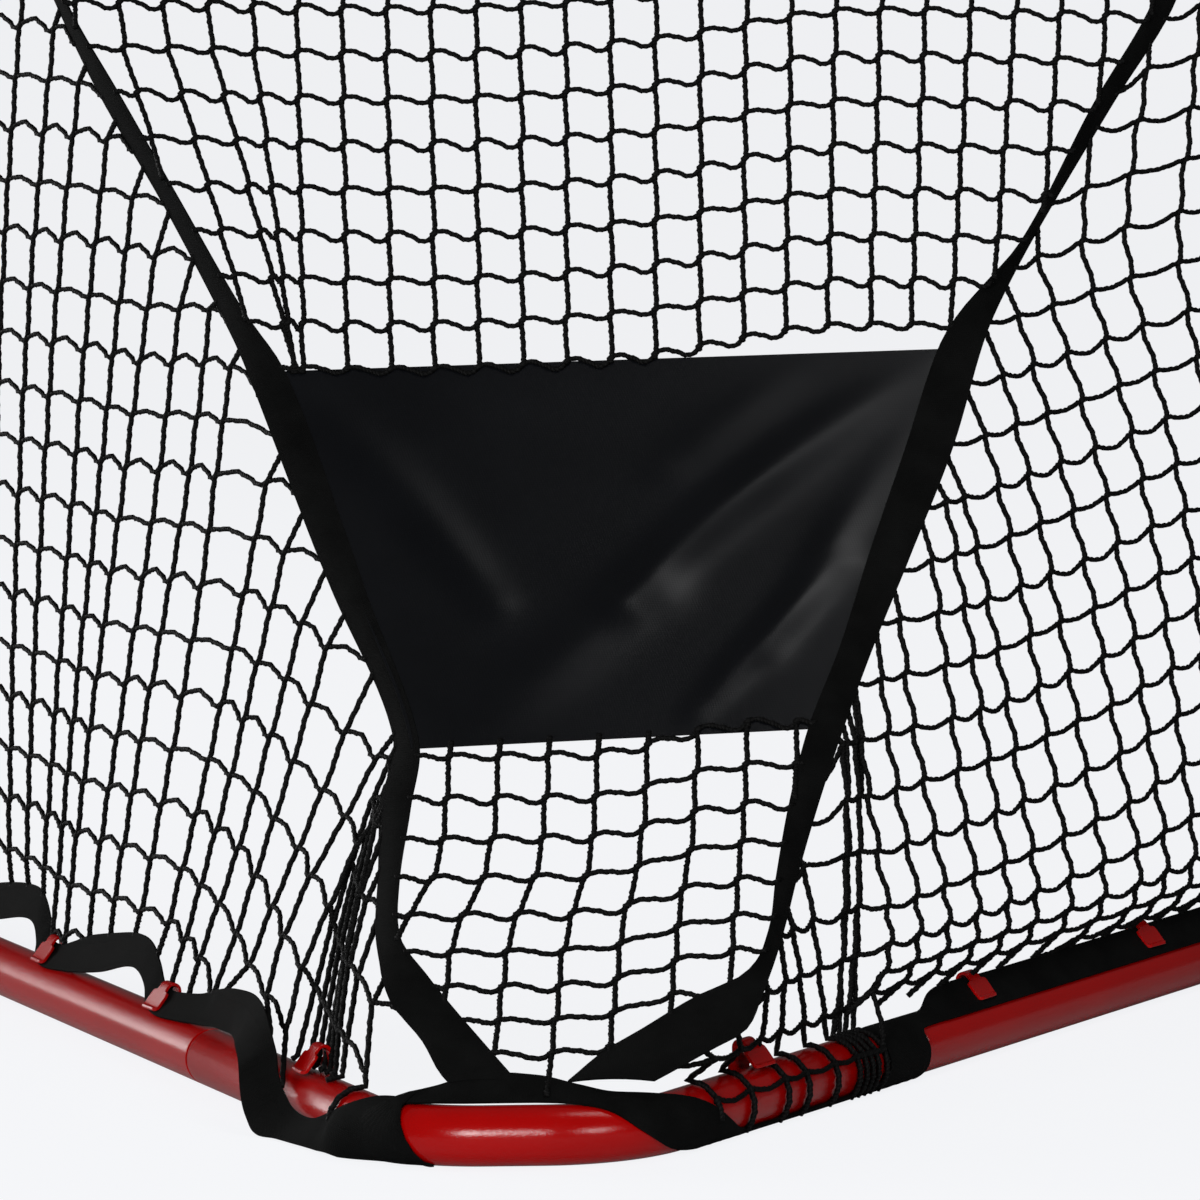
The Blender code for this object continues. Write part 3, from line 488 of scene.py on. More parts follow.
def powder_coat():
    """Glossy red powder coat with a fine orange peel and faint dust and scuffs."""
    colour = tuple(bpy.context.scene.goal_colours.coat)
    n = Nodes("red_powder_coat")
    place = n.add("TexCoord").outputs["Object"]
    broad = n.noise(9.0, 3.0, place)
    scuffs = n.noise(60.0, 6.0, place, 0.7)
    peel = n.noise(750.0, 1.0, place)
    grain = n.noise(2600.0, 1.0, place)
    shade = n.ramp(broad, tint(colour, 0.90), tint(colour, 1.08), 0.3, 0.7)
    worn = n.add("MixRGB", {"Fac": n.span(scuffs, 0.0, 0.5, 0.66, 0.80), "Color1": shade,
                            "Color2": (*tint(colour, 0.62), 1)}).outputs["Color"]
    rough = n.maths("ADD", n.span(broad, 0.15, 0.21), n.span(scuffs, 0.0, 0.16, 0.60, 0.80))
    normal = n.bump(grain, 0.00006, 0.5, n.bump(peel, 0.00022, 0.55))
    n.set(Base_Color=worn, Roughness=rough, Normal=normal)
    n.shader.inputs["Specular IOR Level"].default_value = 0.34
    n.shader.inputs["Coat Weight"].default_value = 0.10
    n.shader.inputs["Coat Roughness"].default_value = 0.16
    return n.finish


def metal(name, colour, rough, streak):
    """Plated metal with fine lengthwise scratches and a slightly dull bloom."""
    n = Nodes(name)
    place = n.add("TexCoord").outputs["Object"]
    stretched = n.add("Mapping", {"Vector": place, "Scale": streak}).outputs["Vector"]
    lines = n.noise(900.0, 4.0, stretched)
    bloom = n.noise(350.0, 3.0, place)
    shade = n.ramp(bloom, tint(colour, 0.72), tint(colour, 1.08), 0.3, 0.75)
    n.set(Base_Color=shade, Roughness=n.span(bloom, rough - 0.08, rough + 0.14),
          Normal=n.bump(lines, 0.00005, 0.5))
    n.shader.inputs["Metallic"].default_value = 1.0
    return n.finish


def webbing():
    """Plain-woven black webbing: ribs across, a twill of warp threads and two stitch lines."""
    colour = tuple(bpy.context.scene.goal_colours.webbing)
    n = Nodes("black_webbing")
    uv = n.add("TexCoord").outputs["UV"]
    split = n.add("SeparateXYZ", {"Vector": uv})
    along, across = split.outputs["X"], split.outputs["Y"]
    rib, warp = n.ripple(along, RIB_PITCH), n.ripple(across, WARP_PITCH)
    weave = n.maths("MULTIPLY", rib, warp)
    pile = n.noise(1400.0, 2.0, n.add("TexCoord").outputs["Object"])
    lint = n.noise(38.0, 4.0, n.add("TexCoord").outputs["Object"])
    height = n.maths("ADD", n.maths("MULTIPLY", weave, 0.5), n.maths("MULTIPLY", rib, 0.35))
    height = n.maths("ADD", height, n.maths("MULTIPLY", pile, 0.5))
    for line in (STITCH_INSET, bpy.context.scene.goal_sizes.tape_width - STITCH_INSET):
        near = n.maths("ABSOLUTE", n.maths("SUBTRACT", across, line))
        band = n.span(near, 1.0, 0.0, *STITCH_HALF_WIDTH)
        dash = n.span(n.ripple(along, STITCH_PITCH), 0.0, 1.0, -0.5, 0.1)
        thread = n.maths("MULTIPLY", band, dash)
        dent = n.maths("MULTIPLY", band, -0.9)
        height = n.maths("ADD", height, n.maths("ADD", dent, n.maths("MULTIPLY", thread, 1.9)))
    # Partly painted shade: the colour is lighter on the weave's raised crossings and darker in its hollows.
    # The lint noise adds random tone.
    shade = n.ramp(n.maths("ADD", n.maths("MULTIPLY", weave, 0.2), lint), tint(colour, 0.65),
                   tint(colour, 1.55), 0.25, 0.85)
    n.set(Base_Color=shade, Roughness=n.span(lint, 0.66, 0.84), Normal=n.bump(height, 0.00028, 0.7))
    n.shader.inputs["Sheen Weight"].default_value = 0.004
    n.shader.inputs["Sheen Roughness"].default_value = 0.45
    n.shader.inputs["Specular IOR Level"].default_value = 0.03
    return n.finish


def twisted_cord():
    """Three-ply black cord: the plies wind round it as slanting ridges, with painted shade in the grooves
    between them.
    """
    colour = tuple(bpy.context.scene.goal_colours.cord)
    n = Nodes("black_cord")
    uv = n.add("TexCoord").outputs["UV"]
    split = n.add("SeparateXYZ", {"Vector": uv})
    turns = n.maths("ADD", n.maths("MULTIPLY", split.outputs["X"], 1 / PLY_LAY), split.outputs["Y"])
    ply = n.maths("SINE", n.maths("MULTIPLY", turns, 2 * math.pi * PLIES))
    fuzz = n.noise(1900.0, 2.0, n.add("TexCoord").outputs["Object"])
    height = n.maths("ADD", n.maths("MULTIPLY", ply, 0.5), n.maths("MULTIPLY", fuzz, 0.35))
    # Painted shade: the colour follows the ply wave, darker in the grooves between the plies and lighter on
    # their crests.
    shade = n.ramp(n.span(ply, 0.0, 1.0, -1.0, 1.0), tint(colour, 0.5), tint(colour, 1.5))
    n.set(Base_Color=shade, Roughness=n.span(fuzz, 0.50, 0.72), Normal=n.bump(height, 0.00045, 0.8))
    n.shader.inputs["Specular IOR Level"].default_value = 0.12
    return n.finish


def vinyl():
    """Satin black vinyl on a fine scrim: pebbled skin and a faint thread grid."""
    colour = tuple(bpy.context.scene.goal_colours.vinyl)
    n = Nodes("black_vinyl")
    place = n.add("TexCoord").outputs["Object"]
    uv = n.add("TexCoord").outputs["UV"]
    split = n.add("SeparateXYZ", {"Vector": uv})
    threads = n.maths("ADD", n.ripple(split.outputs["X"], SCRIM_PITCH),
                      n.ripple(split.outputs["Y"], SCRIM_PITCH))
    pebble = n.noise(1500.0, 2.0, place)
    wipe = n.noise(11.0, 4.0, place)
    height = n.maths("ADD", n.maths("MULTIPLY", threads, 0.12), n.maths("MULTIPLY", pebble, 0.5))
    shade = n.ramp(wipe, tint(colour, 0.88), tint(colour, 1.15), 0.3, 0.7)
    n.set(Base_Color=shade, Roughness=n.span(wipe, 0.28, 0.34, 0.3, 0.7),
          Normal=n.bump(height, 0.00010, 0.5))
    n.shader.inputs["Specular IOR Level"].default_value = 0.30
    return n.finish


FINISHES = {}


def shared(make):
    """Finish made on its first use and shared by every piece after that."""
    if make not in FINISHES:
        FINISHES[make] = make()
    return FINISHES[make]


# Tubes

RIM = 0.0004
BEND_STEPS = 40
SPIGOT_CHAMFER = 0.0012
ARC_STEPS = 46


def sweep(name, stations, across, sides):
    """Hollow tube with rounded rims, swept through (point, outer radius) stations."""
    points = [Vector(p) for p, _ in stations]
    radii = [r for _, r in stations]
    ways = []
    for k in range(len(points)):
        before = points[k] - points[max(k - 1, 0)]
        after = points[min(k + 1, len(points) - 1)] - points[k]
        ways.append((before.normalized() + after.normalized()).normalized())
    outer = [(points[0], ways[0], radii[0] - RIM), (points[0] + ways[0] * RIM, ways[0], radii[0])]
    outer += [(points[k], ways[k], radii[k]) for k in range(1, len(points) - 1)]
    outer += [(points[-1] - ways[-1] * RIM, ways[-1], radii[-1]), (points[-1], ways[-1], radii[-1] - RIM)]
    inner = [(p, w, r - TUBE_WALL + (RIM if k in (0, len(outer) - 1) else 0))
             for k, (p, w, r) in enumerate(outer)]
    rings = outer + list(reversed(inner))
    grid = []
    for place, way, radius in rings:
        side = (across - way * across.dot(way)).normalized()
        up = way.cross(side)
        turns = [2 * math.pi * s / sides for s in range(sides)]
        grid.append([place + (side * math.cos(turn) + up * math.sin(turn)) * radius for turn in turns])
    grid = np.array([[tuple(v) for v in ring] for ring in grid])
    count = len(rings)
    index = np.arange(count * sides).reshape(count, sides)
    index = np.vstack([index, index[:1]])
    index = np.hstack([index, index[:, :1]])
    mesh = bpy.data.meshes.new(name)
    mesh.from_pydata(grid.reshape(-1, 3).tolist(), [], grid_faces(index).tolist())
    bm = bmesh.new()
    bm.from_mesh(mesh)
    bmesh.ops.recalc_face_normals(bm, faces=bm.faces)
    bm.to_mesh(mesh)
    bm.free()
    return link_object(name, mesh)


def drill(obj, holes):
    """Holes for the spring buttons, as (point on the axis, outward) pairs."""
    cutters = []
    for number, (centre, outward) in enumerate(holes):
        bm = bmesh.new()
        bmesh.ops.create_cone(bm, cap_ends=True, segments=40, radius1=BUTTON_HOLE, radius2=BUTTON_HOLE,
                              depth=RADIUS)
        mesh = bpy.data.meshes.new("hole")
        bm.to_mesh(mesh)
        bm.free()
        cutter = link_object("hole_" + obj.name + str(number), mesh)
        turn = UP.rotation_difference(outward).to_matrix().to_4x4()
        cutter.matrix_world = Matrix.Translation(centre + outward * RADIUS) @ turn
        hole = obj.modifiers.new("hole", "BOOLEAN")
        hole.operation = "DIFFERENCE"
        hole.solver = "EXACT"
        hole.object = cutter
        cutters.append(cutter)
    mesh = apply_modifiers(obj)
    for cutter in cutters:
        bpy.data.objects.remove(cutter, do_unlink=True)
    mesh.shade_smooth()
    mesh.set_sharp_from_angle(angle=math.radians(32))
    return obj


def arc(centre, radius, from_dir, to_dir):
    """Points of a quarter bend."""
    points = []
    for k in range(ARC_STEPS + 1):
        turn = math.pi / 2 * k / ARC_STEPS
        points.append(centre + (from_dir * math.cos(turn) + to_dir * math.sin(turn)) * radius)
    return points


def spigot(end, along):
    """Stations of the narrowed end that slides into the next tube."""
    return [(end, RADIUS), (end + along * SPIGOT_CHAMFER, RADIUS - 0.0005),
            (end + along * SHOULDER, SPIGOT_RADIUS), (end + along * (SHOULDER + 0.001), SPIGOT_RADIUS),
            (end + along * SPIGOT_LENGTH, SPIGOT_RADIUS)]


def on_post(side, z):
    """Point on a post's axis."""
    return Vector((side * POST_X, POST_Y, z))


def button_places():
    """Centre on the axis and direction of each spring button, by joint."""
    places = {}
    for side in (LEFT, RIGHT):
        label = SIDE_NAMES[side]
        centre, _, outward = ground_frame(side, CORNER_ARM + BUTTON_INSET)
        places[label + "_rear"] = (centre, -outward)
        places[label + "_foot"] = (on_post(side, FOOT_RISE + BUTTON_INSET), Vector((side, 0, 0)))
        places[label + "_head"] = (on_post(side, HEAD_JOINT_Z - BUTTON_INSET), Vector((side, 0, 0)))
    return places


def build_rear_corner(sides, buttons):
    stations = list(reversed(spigot(*ground_frame(LEFT, CORNER_ARM)[:2])))
    bend = [-BEND_ARC * k / BEND_STEPS for k in range(BEND_STEPS + 1)]
    stations += [(ground_frame(LEFT, at)[0], RADIUS) for at in bend]
    stations += [(ground_frame(RIGHT, at)[0], RADIUS) for at in reversed(bend)]
    stations += spigot(*ground_frame(RIGHT, CORNER_ARM)[:2])
    corner = sweep("rear_corner_dress", stations, UP, sides)
    drill(corner, [buttons["left_rear"], buttons["right_rear"]])
    dress(corner, shared(powder_coat), "red_powder_coat", "rear_corner_tube")


def build_rail(side, sides, buttons):
    label = SIDE_NAMES[side]
    start, along, outward = ground_frame(side, CORNER_ARM + SHOULDER + JOINT_GAP)
    centre = on_post(side, RADIUS) - along * ELBOW_RADIUS + UP * ELBOW_RADIUS
    stations = [(start, RADIUS)] + [(p, RADIUS) for p in arc(centre, ELBOW_RADIUS, -UP, along)]
    stations += spigot(on_post(side, FOOT_RISE), UP)
    rail = sweep(label + "_rail_dress", stations, outward, sides)
    drill(rail, [buttons[label + "_rear"], buttons[label + "_foot"]])
    dress(rail, shared(powder_coat), "red_powder_coat", label + "_ground_rail")


def build_post(side, sides, buttons):
    label = SIDE_NAMES[side]
    low = on_post(side, FOOT_RISE + SHOULDER + JOINT_GAP)
    high = on_post(side, HEAD_JOINT_Z - SHOULDER - JOINT_GAP)
    stations = [(low.lerp(high, k / 6), RADIUS) for k in range(7)]
    post = sweep(label + "_post_dress", stations, Vector((1, 0, 0)), sides)
    drill(post, [buttons[label + "_foot"], buttons[label + "_head"]])
    dress(post, shared(powder_coat), "red_powder_coat", label + "_post")


def build_crossbar(sides, buttons):
    stations = []
    for side in (LEFT, RIGHT):
        outward = Vector((side, 0, 0))
        centre = on_post(side, CROSSBAR_Z) - outward * ELBOW_RADIUS - UP * ELBOW_RADIUS
        half = [(p, RADIUS) for p in arc(centre, ELBOW_RADIUS, UP, outward)]
        half += spigot(on_post(side, HEAD_JOINT_Z), -UP)
        stations = stations + half if side == RIGHT else list(reversed(half))
    bar = sweep("crossbar_dress", stations, Vector((0, 1, 0)), sides)
    drill(bar, [buttons["left_head"], buttons["right_head"]])
    dress(bar, shared(powder_coat), "red_powder_coat", "crossbar")


def build_tubes():
    sides = bpy.context.scene.goal_sizes.tube_sides
    buttons = button_places()
    build_rear_corner(sides, buttons)
    for side in (LEFT, RIGHT):
        build_rail(side, sides, buttons)
        build_post(side, sides, buttons)
    build_crossbar(sides, buttons)


def build_buttons():
    """The buttons and their springs are the CAD's own pieces and only get a metal finish."""
    colours = bpy.context.scene.goal_colours
    zinc = metal("zinc_button", tuple(colours.zinc), 0.30, (1, 1, 8))
    steel = metal("spring_steel", tuple(colours.steel), 0.42, (1, 6, 1))
    for name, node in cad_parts.items():
        finish = {"snap_button": zinc, "button_spring": steel}.get("_".join(name.split("_")[-2:]))
        if finish:
            for place in node.material_slots:
                place.material = finish


# Members that carry clips and tapes

TAPE_AT_CLIP = ((0.0147, 0.0147), (0.0100, 0.0184), (0.0058, 0.0234), (0.0018, 0.0284), (-0.0020, 0.0335))
TAPE_FREE = ((0.0060, 0.0200), (0.0022, 0.0246), (-0.0018, 0.0292), (-0.0058, 0.0338), (-0.0096, 0.0384))
TAPE_GRIP, TAPE_EASE = 0.016, 0.075


class Member:
    """A straight tube with its net side, its lip side and its clips."""

    def __init__(self, origin, along, net_side, lip_side, clips, free=True):
        self.origin = origin
        self.along = along
        self.net_side = net_side
        self.lip_side = lip_side
        self.clips = clips
        self.free = free

    def place(self, at, lip, net):
        return self.origin + self.along * at + self.net_side * net + self.lip_side * lip

    def row(self, at):
        """Tape across the member, from its outer edge to the net."""
        ease = 0.0
        if self.free:
            ease = smooth((min(abs(at - clip) for clip in self.clips) - TAPE_GRIP) / TAPE_EASE)
        points = []
        for (l0, n0), (l1, n1) in zip(TAPE_AT_CLIP, TAPE_FREE):
            points.append(self.place(at, l0 + (l1 - l0) * ease, n0 + (n1 - n0) * ease))
        return points


def rail_member(side):
    origin, along, outward = ground_frame(side, 0)
    return Member(origin, along, UP, outward, RAIL_CLIPS, False)


def post_member(side):
    return Member(on_post(side, 0), UP, Vector((0, -1, 0)), Vector((side, 0, 0)), POST_CLIPS)


def crossbar_member():
    origin = Vector((0, POST_Y, CROSSBAR_Z))
    return Member(origin, Vector((1, 0, 0)), Vector((0, -1, 0)), UP, CROSSBAR_CLIPS)


# Clips: a plate welded to the tube, a narrow neck folded over the tape's edge and a wide lip
# that slopes down over the tape and curls up at its end

CLIP_BACK = -0.0085
CLIP_FOLD = 0.0045
CLIP_FOLD_RISE = 0.0130
CLIP_SLOPE = math.radians(52)
CLIP_LIP_RUN = 0.0155
CLIP_CURL = 0.0034
CLIP_CURL_TURN = math.radians(74)
CLIP_NECK = 0.0066
WELD_REACH = 0.78
WELD_SIZE = 0.0019
WELD_RINGS, WELD_SIDES = 27, 8


def clip_outline():
    """Rows down the folded sheet: offset to the lip side, height off the axis, half width."""
    sizes = bpy.context.scene.goal_sizes
    wide, neck = sizes.clip_width / 2, CLIP_NECK
    base = math.sqrt(RADIUS**2 - CLIP_BACK**2) - 0.0004
    top = RADIUS + CLIP_FOLD_RISE
    rows = [(CLIP_BACK, base, wide * 0.80), (CLIP_BACK, base + 0.0010, wide * 0.93),
            (CLIP_BACK, base + 0.0024, wide), (CLIP_BACK, base + 0.0070, wide),
            (CLIP_BACK, base + 0.0086, wide * 0.97), (CLIP_BACK, base + 0.0096, wide * 0.88),
            (CLIP_BACK, base + 0.0102, neck + 0.0018), (CLIP_BACK, base + 0.0112, neck)]
    centre = CLIP_BACK + CLIP_FOLD
    bend = math.pi / 2 + CLIP_SLOPE
    for k in range(9):
        turn = math.pi - bend * k / 8
        rows.append((centre + CLIP_FOLD * math.cos(turn), top + CLIP_FOLD * math.sin(turn), neck))
    lip, height = rows[-1][0], rows[-1][1]
    way = (math.cos(CLIP_SLOPE), -math.sin(CLIP_SLOPE))
    for run, half in ((0.0030, neck), (0.0040, neck + 0.0012), (0.0042, wide * 0.86), (0.0054, wide * 0.97),
                      (0.0070, wide), (0.0120, wide), (CLIP_LIP_RUN, wide * 0.985)):
        rows.append((lip + way[0] * run, height + way[1] * run, half))
    lip, height = rows[-1][0], rows[-1][1]
    for k in range(1, 7):
        turn = CLIP_CURL_TURN * k / 6
        x = lip + CLIP_CURL * (math.sin(CLIP_SLOPE) - math.sin(CLIP_SLOPE - turn))
        z = height - CLIP_CURL * (math.cos(CLIP_SLOPE - turn) - math.cos(CLIP_SLOPE))
        rows.append((x, z, wide * (0.98, 0.97, 0.95, 0.92, 0.86, 0.74)[k - 1]))
    return rows


def clip_mesh(name, skew):
    """Clip in its own frame: x along the tube, y to the lip side, z off the axis."""
    rows = clip_outline()
    shares = (-1, -0.97, -0.86, -0.5, 0, 0.5, 0.86, 0.97, 1)
    grid = []
    for k, (lip, height, half) in enumerate(rows):
        twist = skew * k / len(rows)
        grid.append([(half * share, lip + twist * half * share, height) for share in shares])
    return grid_mesh(name, grid)


def build_clips():
    finish = shared(powder_coat)
    sheet = bpy.context.scene.goal_sizes.clip_sheet
    groups = [("crossbar", crossbar_member(), CROSSBAR_CLIPS)]
    for side in (LEFT, RIGHT):
        label = SIDE_NAMES[side]
        groups.append((label + "_rail", rail_member(side), (CORNER_CLIP_AT,) + RAIL_CLIPS))
        groups.append((label + "_post", post_member(side), POST_CLIPS))
    for label, member, places in groups:
        for number, at in enumerate(places, 1):
            node = label + "_clip_" + str(number)
            skew = 0.05 * math.sin(number * 2.3 + len(label))
            obj = link_object(node + "_dress", clip_mesh(node, skew))
            across = member.lip_side.cross(member.net_side)
            turn = Matrix((across, member.lip_side, member.net_side)).transposed().to_4x4()
            obj.data.transform(Matrix.Translation(member.place(at, 0, 0)) @ turn)
            shell = obj.modifiers.new("sheet", "SOLIDIFY")
            shell.thickness = sheet
            shell.offset = 0
            shell.use_even_offset = True
            edge = obj.modifiers.new("edges", "BEVEL")
            edge.width = 0.0004
            edge.segments = 2
            edge.angle_limit = math.radians(50)
            mesh = apply_modifiers(obj)
            mesh.shade_smooth()
            mesh.set_sharp_from_angle(angle=math.radians(60))
            dress(obj, finish, "red_powder_coat", node)
            weld_bead(node, member, at)


def weld_bead(node, member, at):
    """Small fillet weld where the clip's plate meets the tube."""
    half = bpy.context.scene.goal_sizes.clip_width / 2 * WELD_REACH
    height = math.sqrt(RADIUS**2 - CLIP_BACK**2)
    grid = []
    for k in range(WELD_RINGS):
        share = k / (WELD_RINGS - 1) * 2 - 1
        ripple = 1 + 0.12 * math.sin(k * 1.9)
        size = WELD_SIZE * ripple * math.sqrt(max(1 - share**4, 0.02))
        ring = []
        for s in range(WELD_SIDES):
            turn = 2 * math.pi * s / WELD_SIDES
            ring.append(tuple(member.place(at + half * share, CLIP_BACK - 0.0006 + size * math.cos(turn),
                                           height + 0.0002 + size * 0.8 * math.sin(turn))))
        ring.append(ring[0])
        grid.append(ring)
    mesh = grid_mesh(node + "_weld", grid)
    bm = bmesh.new()
    bm.from_mesh(mesh)
    bmesh.ops.remove_doubles(bm, verts=bm.verts, dist=1e-6)
    bmesh.ops.holes_fill(bm, edges=[e for e in bm.edges if e.is_boundary], sides=0)
    bmesh.ops.recalc_face_normals(bm, faces=bm.faces)
    bm.to_mesh(mesh)
    bm.free()
    mesh.shade_smooth()
    bead = link_object(node + "_weld", mesh)
    dress(bead, shared(powder_coat), "red_powder_coat")


# Border tapes

TAPE_ACROSS = 9
TAPE_REACH = RADIUS + 0.0018
FLOOR_CLEAR = 0.0010
# Distances along the right rail in mm at which its tape lies as it does at a clip
RIGHT_STATIONS = (1154, 1000, 850, 700, 550, 430, 348)


def polar(sideways, height):
    """Angle in degrees round the tube's axis and distance from it."""
    angle = math.degrees(math.atan2(height, sideways))
    return angle, math.hypot(sideways, height)


def around(degrees, reach):
    """Sideways and height of a point at an angle round the tube's axis."""
    turn = math.radians(degrees)
    return np.array([math.cos(turn), math.sin(turn)]) * reach


def left_edges():
    """Edge stations of the left tape as angles and distances from the tube's axis."""
    rows = []
    for low_at, low_side, low_up, high_at, high_side, high_up in LEFT_TAPE:
        low, high = polar(low_side, low_up), polar(high_side, high_up)
        rows.append((low_at, low[0], low[1], high_at, high[0], high[1]))
    skin = TAPE_REACH * 1000
    rows += [(row[0], row[1], skin + row[2], row[3], row[4], skin + row[5]) for row in LEFT_SKIN]
    return rows


def right_edges():
    """Edge stations of the right tape, which lies at the clips' height up to the rear corner."""
    low, high = polar(*[v * 1000 for v in TAPE_AT_CLIP[0]]), polar(*[v * 1000 for v in TAPE_AT_CLIP[-1]])
    rows = [(at, low[0], low[1], at, high[0], high[1]) for at in RIGHT_STATIONS]
    skin = TAPE_REACH * 1000
    rows += [(row[0], row[1], skin + row[2], row[3], row[4], skin + row[5]) for row in RIGHT_SKIN]
    return rows


def ground_tape_grid(side):
    """Grid of points from the front of a rail to the middle of the rear tube.

    The tape lies flat from edge to edge where it stands off the tube and bends round it where it wraps.
    """
    rows = through(left_edges() if side == LEFT else right_edges(), 8)
    grid = []
    for low_at, low_turn, low_reach, high_at, high_turn, high_reach in rows:
        line = []
        flat_low, flat_high = around(low_turn, low_reach), around(high_turn, high_reach)
        wrap = smooth((abs(high_turn - low_turn) - 45) / 40)
        for k in range(TAPE_ACROSS):
            share = k / (TAPE_ACROSS - 1)
            at = (low_at + (high_at - low_at) * share) / 1000
            bent = around(low_turn + (high_turn - low_turn) * share,
                          low_reach + (high_reach - low_reach) * share)
            flat = flat_low + (flat_high - flat_low) * share
            sideways, height = (flat + (bent - flat) * wrap) / 1000
            least = TAPE_REACH / max(math.hypot(sideways, height), 1e-6)
            if least > 1:
                sideways, height = sideways * least, height * least
            height = max(height, FLOOR_CLEAR - RADIUS)
            line.append(tuple(beside_rail(side, at, sideways, height)))
        grid.append(line)
    return grid


POST_TAPE = (0.085, 1.170)


def build_border_tapes():
    finish = shared(webbing)
    thickness = bpy.context.scene.goal_sizes.tape_thickness
    grid = ground_tape_grid(LEFT)[:-1] + list(reversed(ground_tape_grid(RIGHT)))
    obj = sheet_object("ground_border_webbing", grid, thickness)
    dress(obj, finish, "black_webbing", "ground_border_tape")
    for side in (LEFT, RIGHT):
        label = SIDE_NAMES[side]
        post = post_member(side)
        rows = [[tuple(p) for p in post.row(at)] for at in np.linspace(*POST_TAPE, 150)]
        obj = sheet_object(label + "_post_webbing", rows, thickness)
        dress(obj, finish, "black_webbing", label + "_post_tape")
    bar = crossbar_member()
    reach = POST_X - ELBOW_RADIUS
    rows = [[tuple(p) for p in bar.row(at)] for at in np.linspace(-reach, reach, 160)]
    obj = sheet_object("crossbar_webbing", rows, thickness)
    dress(obj, finish, "black_webbing", "crossbar_tape")


# Seam tapes

SEAMS = {LEFT: LEFT_SEAM, RIGHT: RIGHT_SEAM}
SEAM_FOOT = 0.0500
SEAM_BOW = 0.0022
STEEPEST_SEAM = 1.2
# From this height the tape turns on edge, over this rise
SEAM_TURN_FROM, SEAM_TURN_RUN = 0.060, 0.06


def seam_edge(side, z, inner):
    """Edge of a seam tape: the inner one lies on the back net, the outer one on the side net."""
    stations = SEAMS[side]
    outer_x, inner_x = (curve_through(stations, z, column) for column in (1, 2))
    if inner:
        return Vector((inner_x, profile_y(z), z))
    width = bpy.context.scene.goal_sizes.tape_width
    drift = curve_through(stations, z + PROFILE_RISE, 1) - curve_through(stations, z - PROFILE_RISE, 1)
    slope = abs(drift) / (2 * PROFILE_RISE)
    across = abs(outer_x - inner_x) / math.hypot(1.0, min(slope, STEEPEST_SEAM))
    push = math.sqrt(max(width**2 - across**2, 0.0)) * smooth((z - SEAM_TURN_FROM) / SEAM_TURN_RUN)
    return Vector((outer_x, profile_y(z) + push, z))


def build_seam_tapes():
    finish = shared(webbing)
    thickness = bpy.context.scene.goal_sizes.tape_thickness
    heights = np.concatenate([np.arange(SEAM_FOOT, 0.25, 0.004), np.arange(0.25, NET_TOP, 0.008),
                              [NET_TOP]])
    for side in (LEFT, RIGHT):
        grid = []
        for z in map(float, heights):
            outer, inner = seam_edge(side, z, False), seam_edge(side, z, True)
            bow = back_normal(z) * SEAM_BOW
            grid.append([tuple(outer.lerp(inner, share) + bow * (1 - (2 * share - 1)**2))
                         for share in np.linspace(0, 1, 7)])
        name = SIDE_NAMES[side] + "_seam"
        obj = sheet_object(name + "_webbing", grid, thickness)
        dress(obj, finish, "black_webbing", name + "_tape")


# Panel

PANEL_TUCK = 0.006
PANEL_SINK = 0.0012
FOLDS = (
    # start share across and up, end share across and up, depth, half width
    (0.99, 0.97, 0.52, 0.34, 0.0070, 0.050), (0.58, 0.36, 0.16, 0.02, 0.0045, 0.070),
    (0.01, 0.98, 0.26, 0.36, 0.0048, 0.050), (0.94, 0.42, 0.70, 0.05, 0.0055, 0.040),
    (0.98, 0.75, 0.84, 0.20, 0.0035, 0.040), (0.80, 0.98, 0.60, 0.70, 0.0022, 0.050),
)


def fold_depth(u, v):
    """How far the folds push a point of the panel out."""
    depth = 0.0
    for u0, v0, u1, v1, deep, wide in FOLDS:
        run = Vector((u1 - u0, v1 - v0))
        off = Vector((u - u0, v - v0))
        along = min(max(off.dot(run) / run.length_squared, 0.0), 1.0)
        away = (off - run * along).length
        fade = 0.4 + 0.6 * math.sin(math.pi * min(max(along, 0.08), 0.92))
        depth += deep * math.exp(-(away / wide)**2) * fade
    return depth


def panel_point(u, v):
    """Point of the panel's middle surface, from share across and share up."""
    low = PANEL_BOTTOM[0] + (PANEL_BOTTOM[1] - PANEL_BOTTOM[0]) * u
    high = PANEL_TOP[0] + (PANEL_TOP[1] - PANEL_TOP[0]) * u
    z = low + (high - low) * v
    left, right = seam_edge(LEFT, z, True), seam_edge(RIGHT, z, True)
    left.x -= PANEL_TUCK
    right.x += PANEL_TUCK
    point = left.lerp(right, u)
    hem = math.sin(math.pi * u)**0.5 * math.sin(math.pi * min(max(v, 0), 1))**0.5
    return point + back_normal(z) * (fold_depth(u, v) * hem - PANEL_SINK)


def build_panel():
    finish = vinyl()
    sizes = bpy.context.scene.goal_sizes
    grid = [[tuple(panel_point(u, v)) for u in np.linspace(0, 1, 97)] for v in np.linspace(0, 1, 73)]
    obj = sheet_object("back_panel_vinyl", grid, sizes.panel_thickness)
    dress(obj, finish, "black_vinyl", "back_panel")
    top, bottom = ((seam_edge(RIGHT, ends[1], True) - seam_edge(LEFT, ends[0], True)).length
                   + 2 * PANEL_TUCK
                   for ends in (PANEL_TOP, PANEL_BOTTOM))


# Nets

RINGS = 11
CORD_SIDES = 6
CORD_TURN = math.radians(50)
STEPS = np.linspace(0, 1, RINGS)
ROW_WAVE = np.interp(STEPS, (0, 0.1, 0.22, 0.5, 0.75, 0.88, 1),
                     (0.1, 0.42, 0.5, -0.35, -1.40, -1.15, -0.1))
COLUMN_JOG = 1 - 2 * STEPS
PLY_LOBE = 0.10
KNOT_SIZE = 0.0029
KNOT_SHAPE = (1.28, 0.86, 0.92)
KNOT_LEAN = math.radians(40)


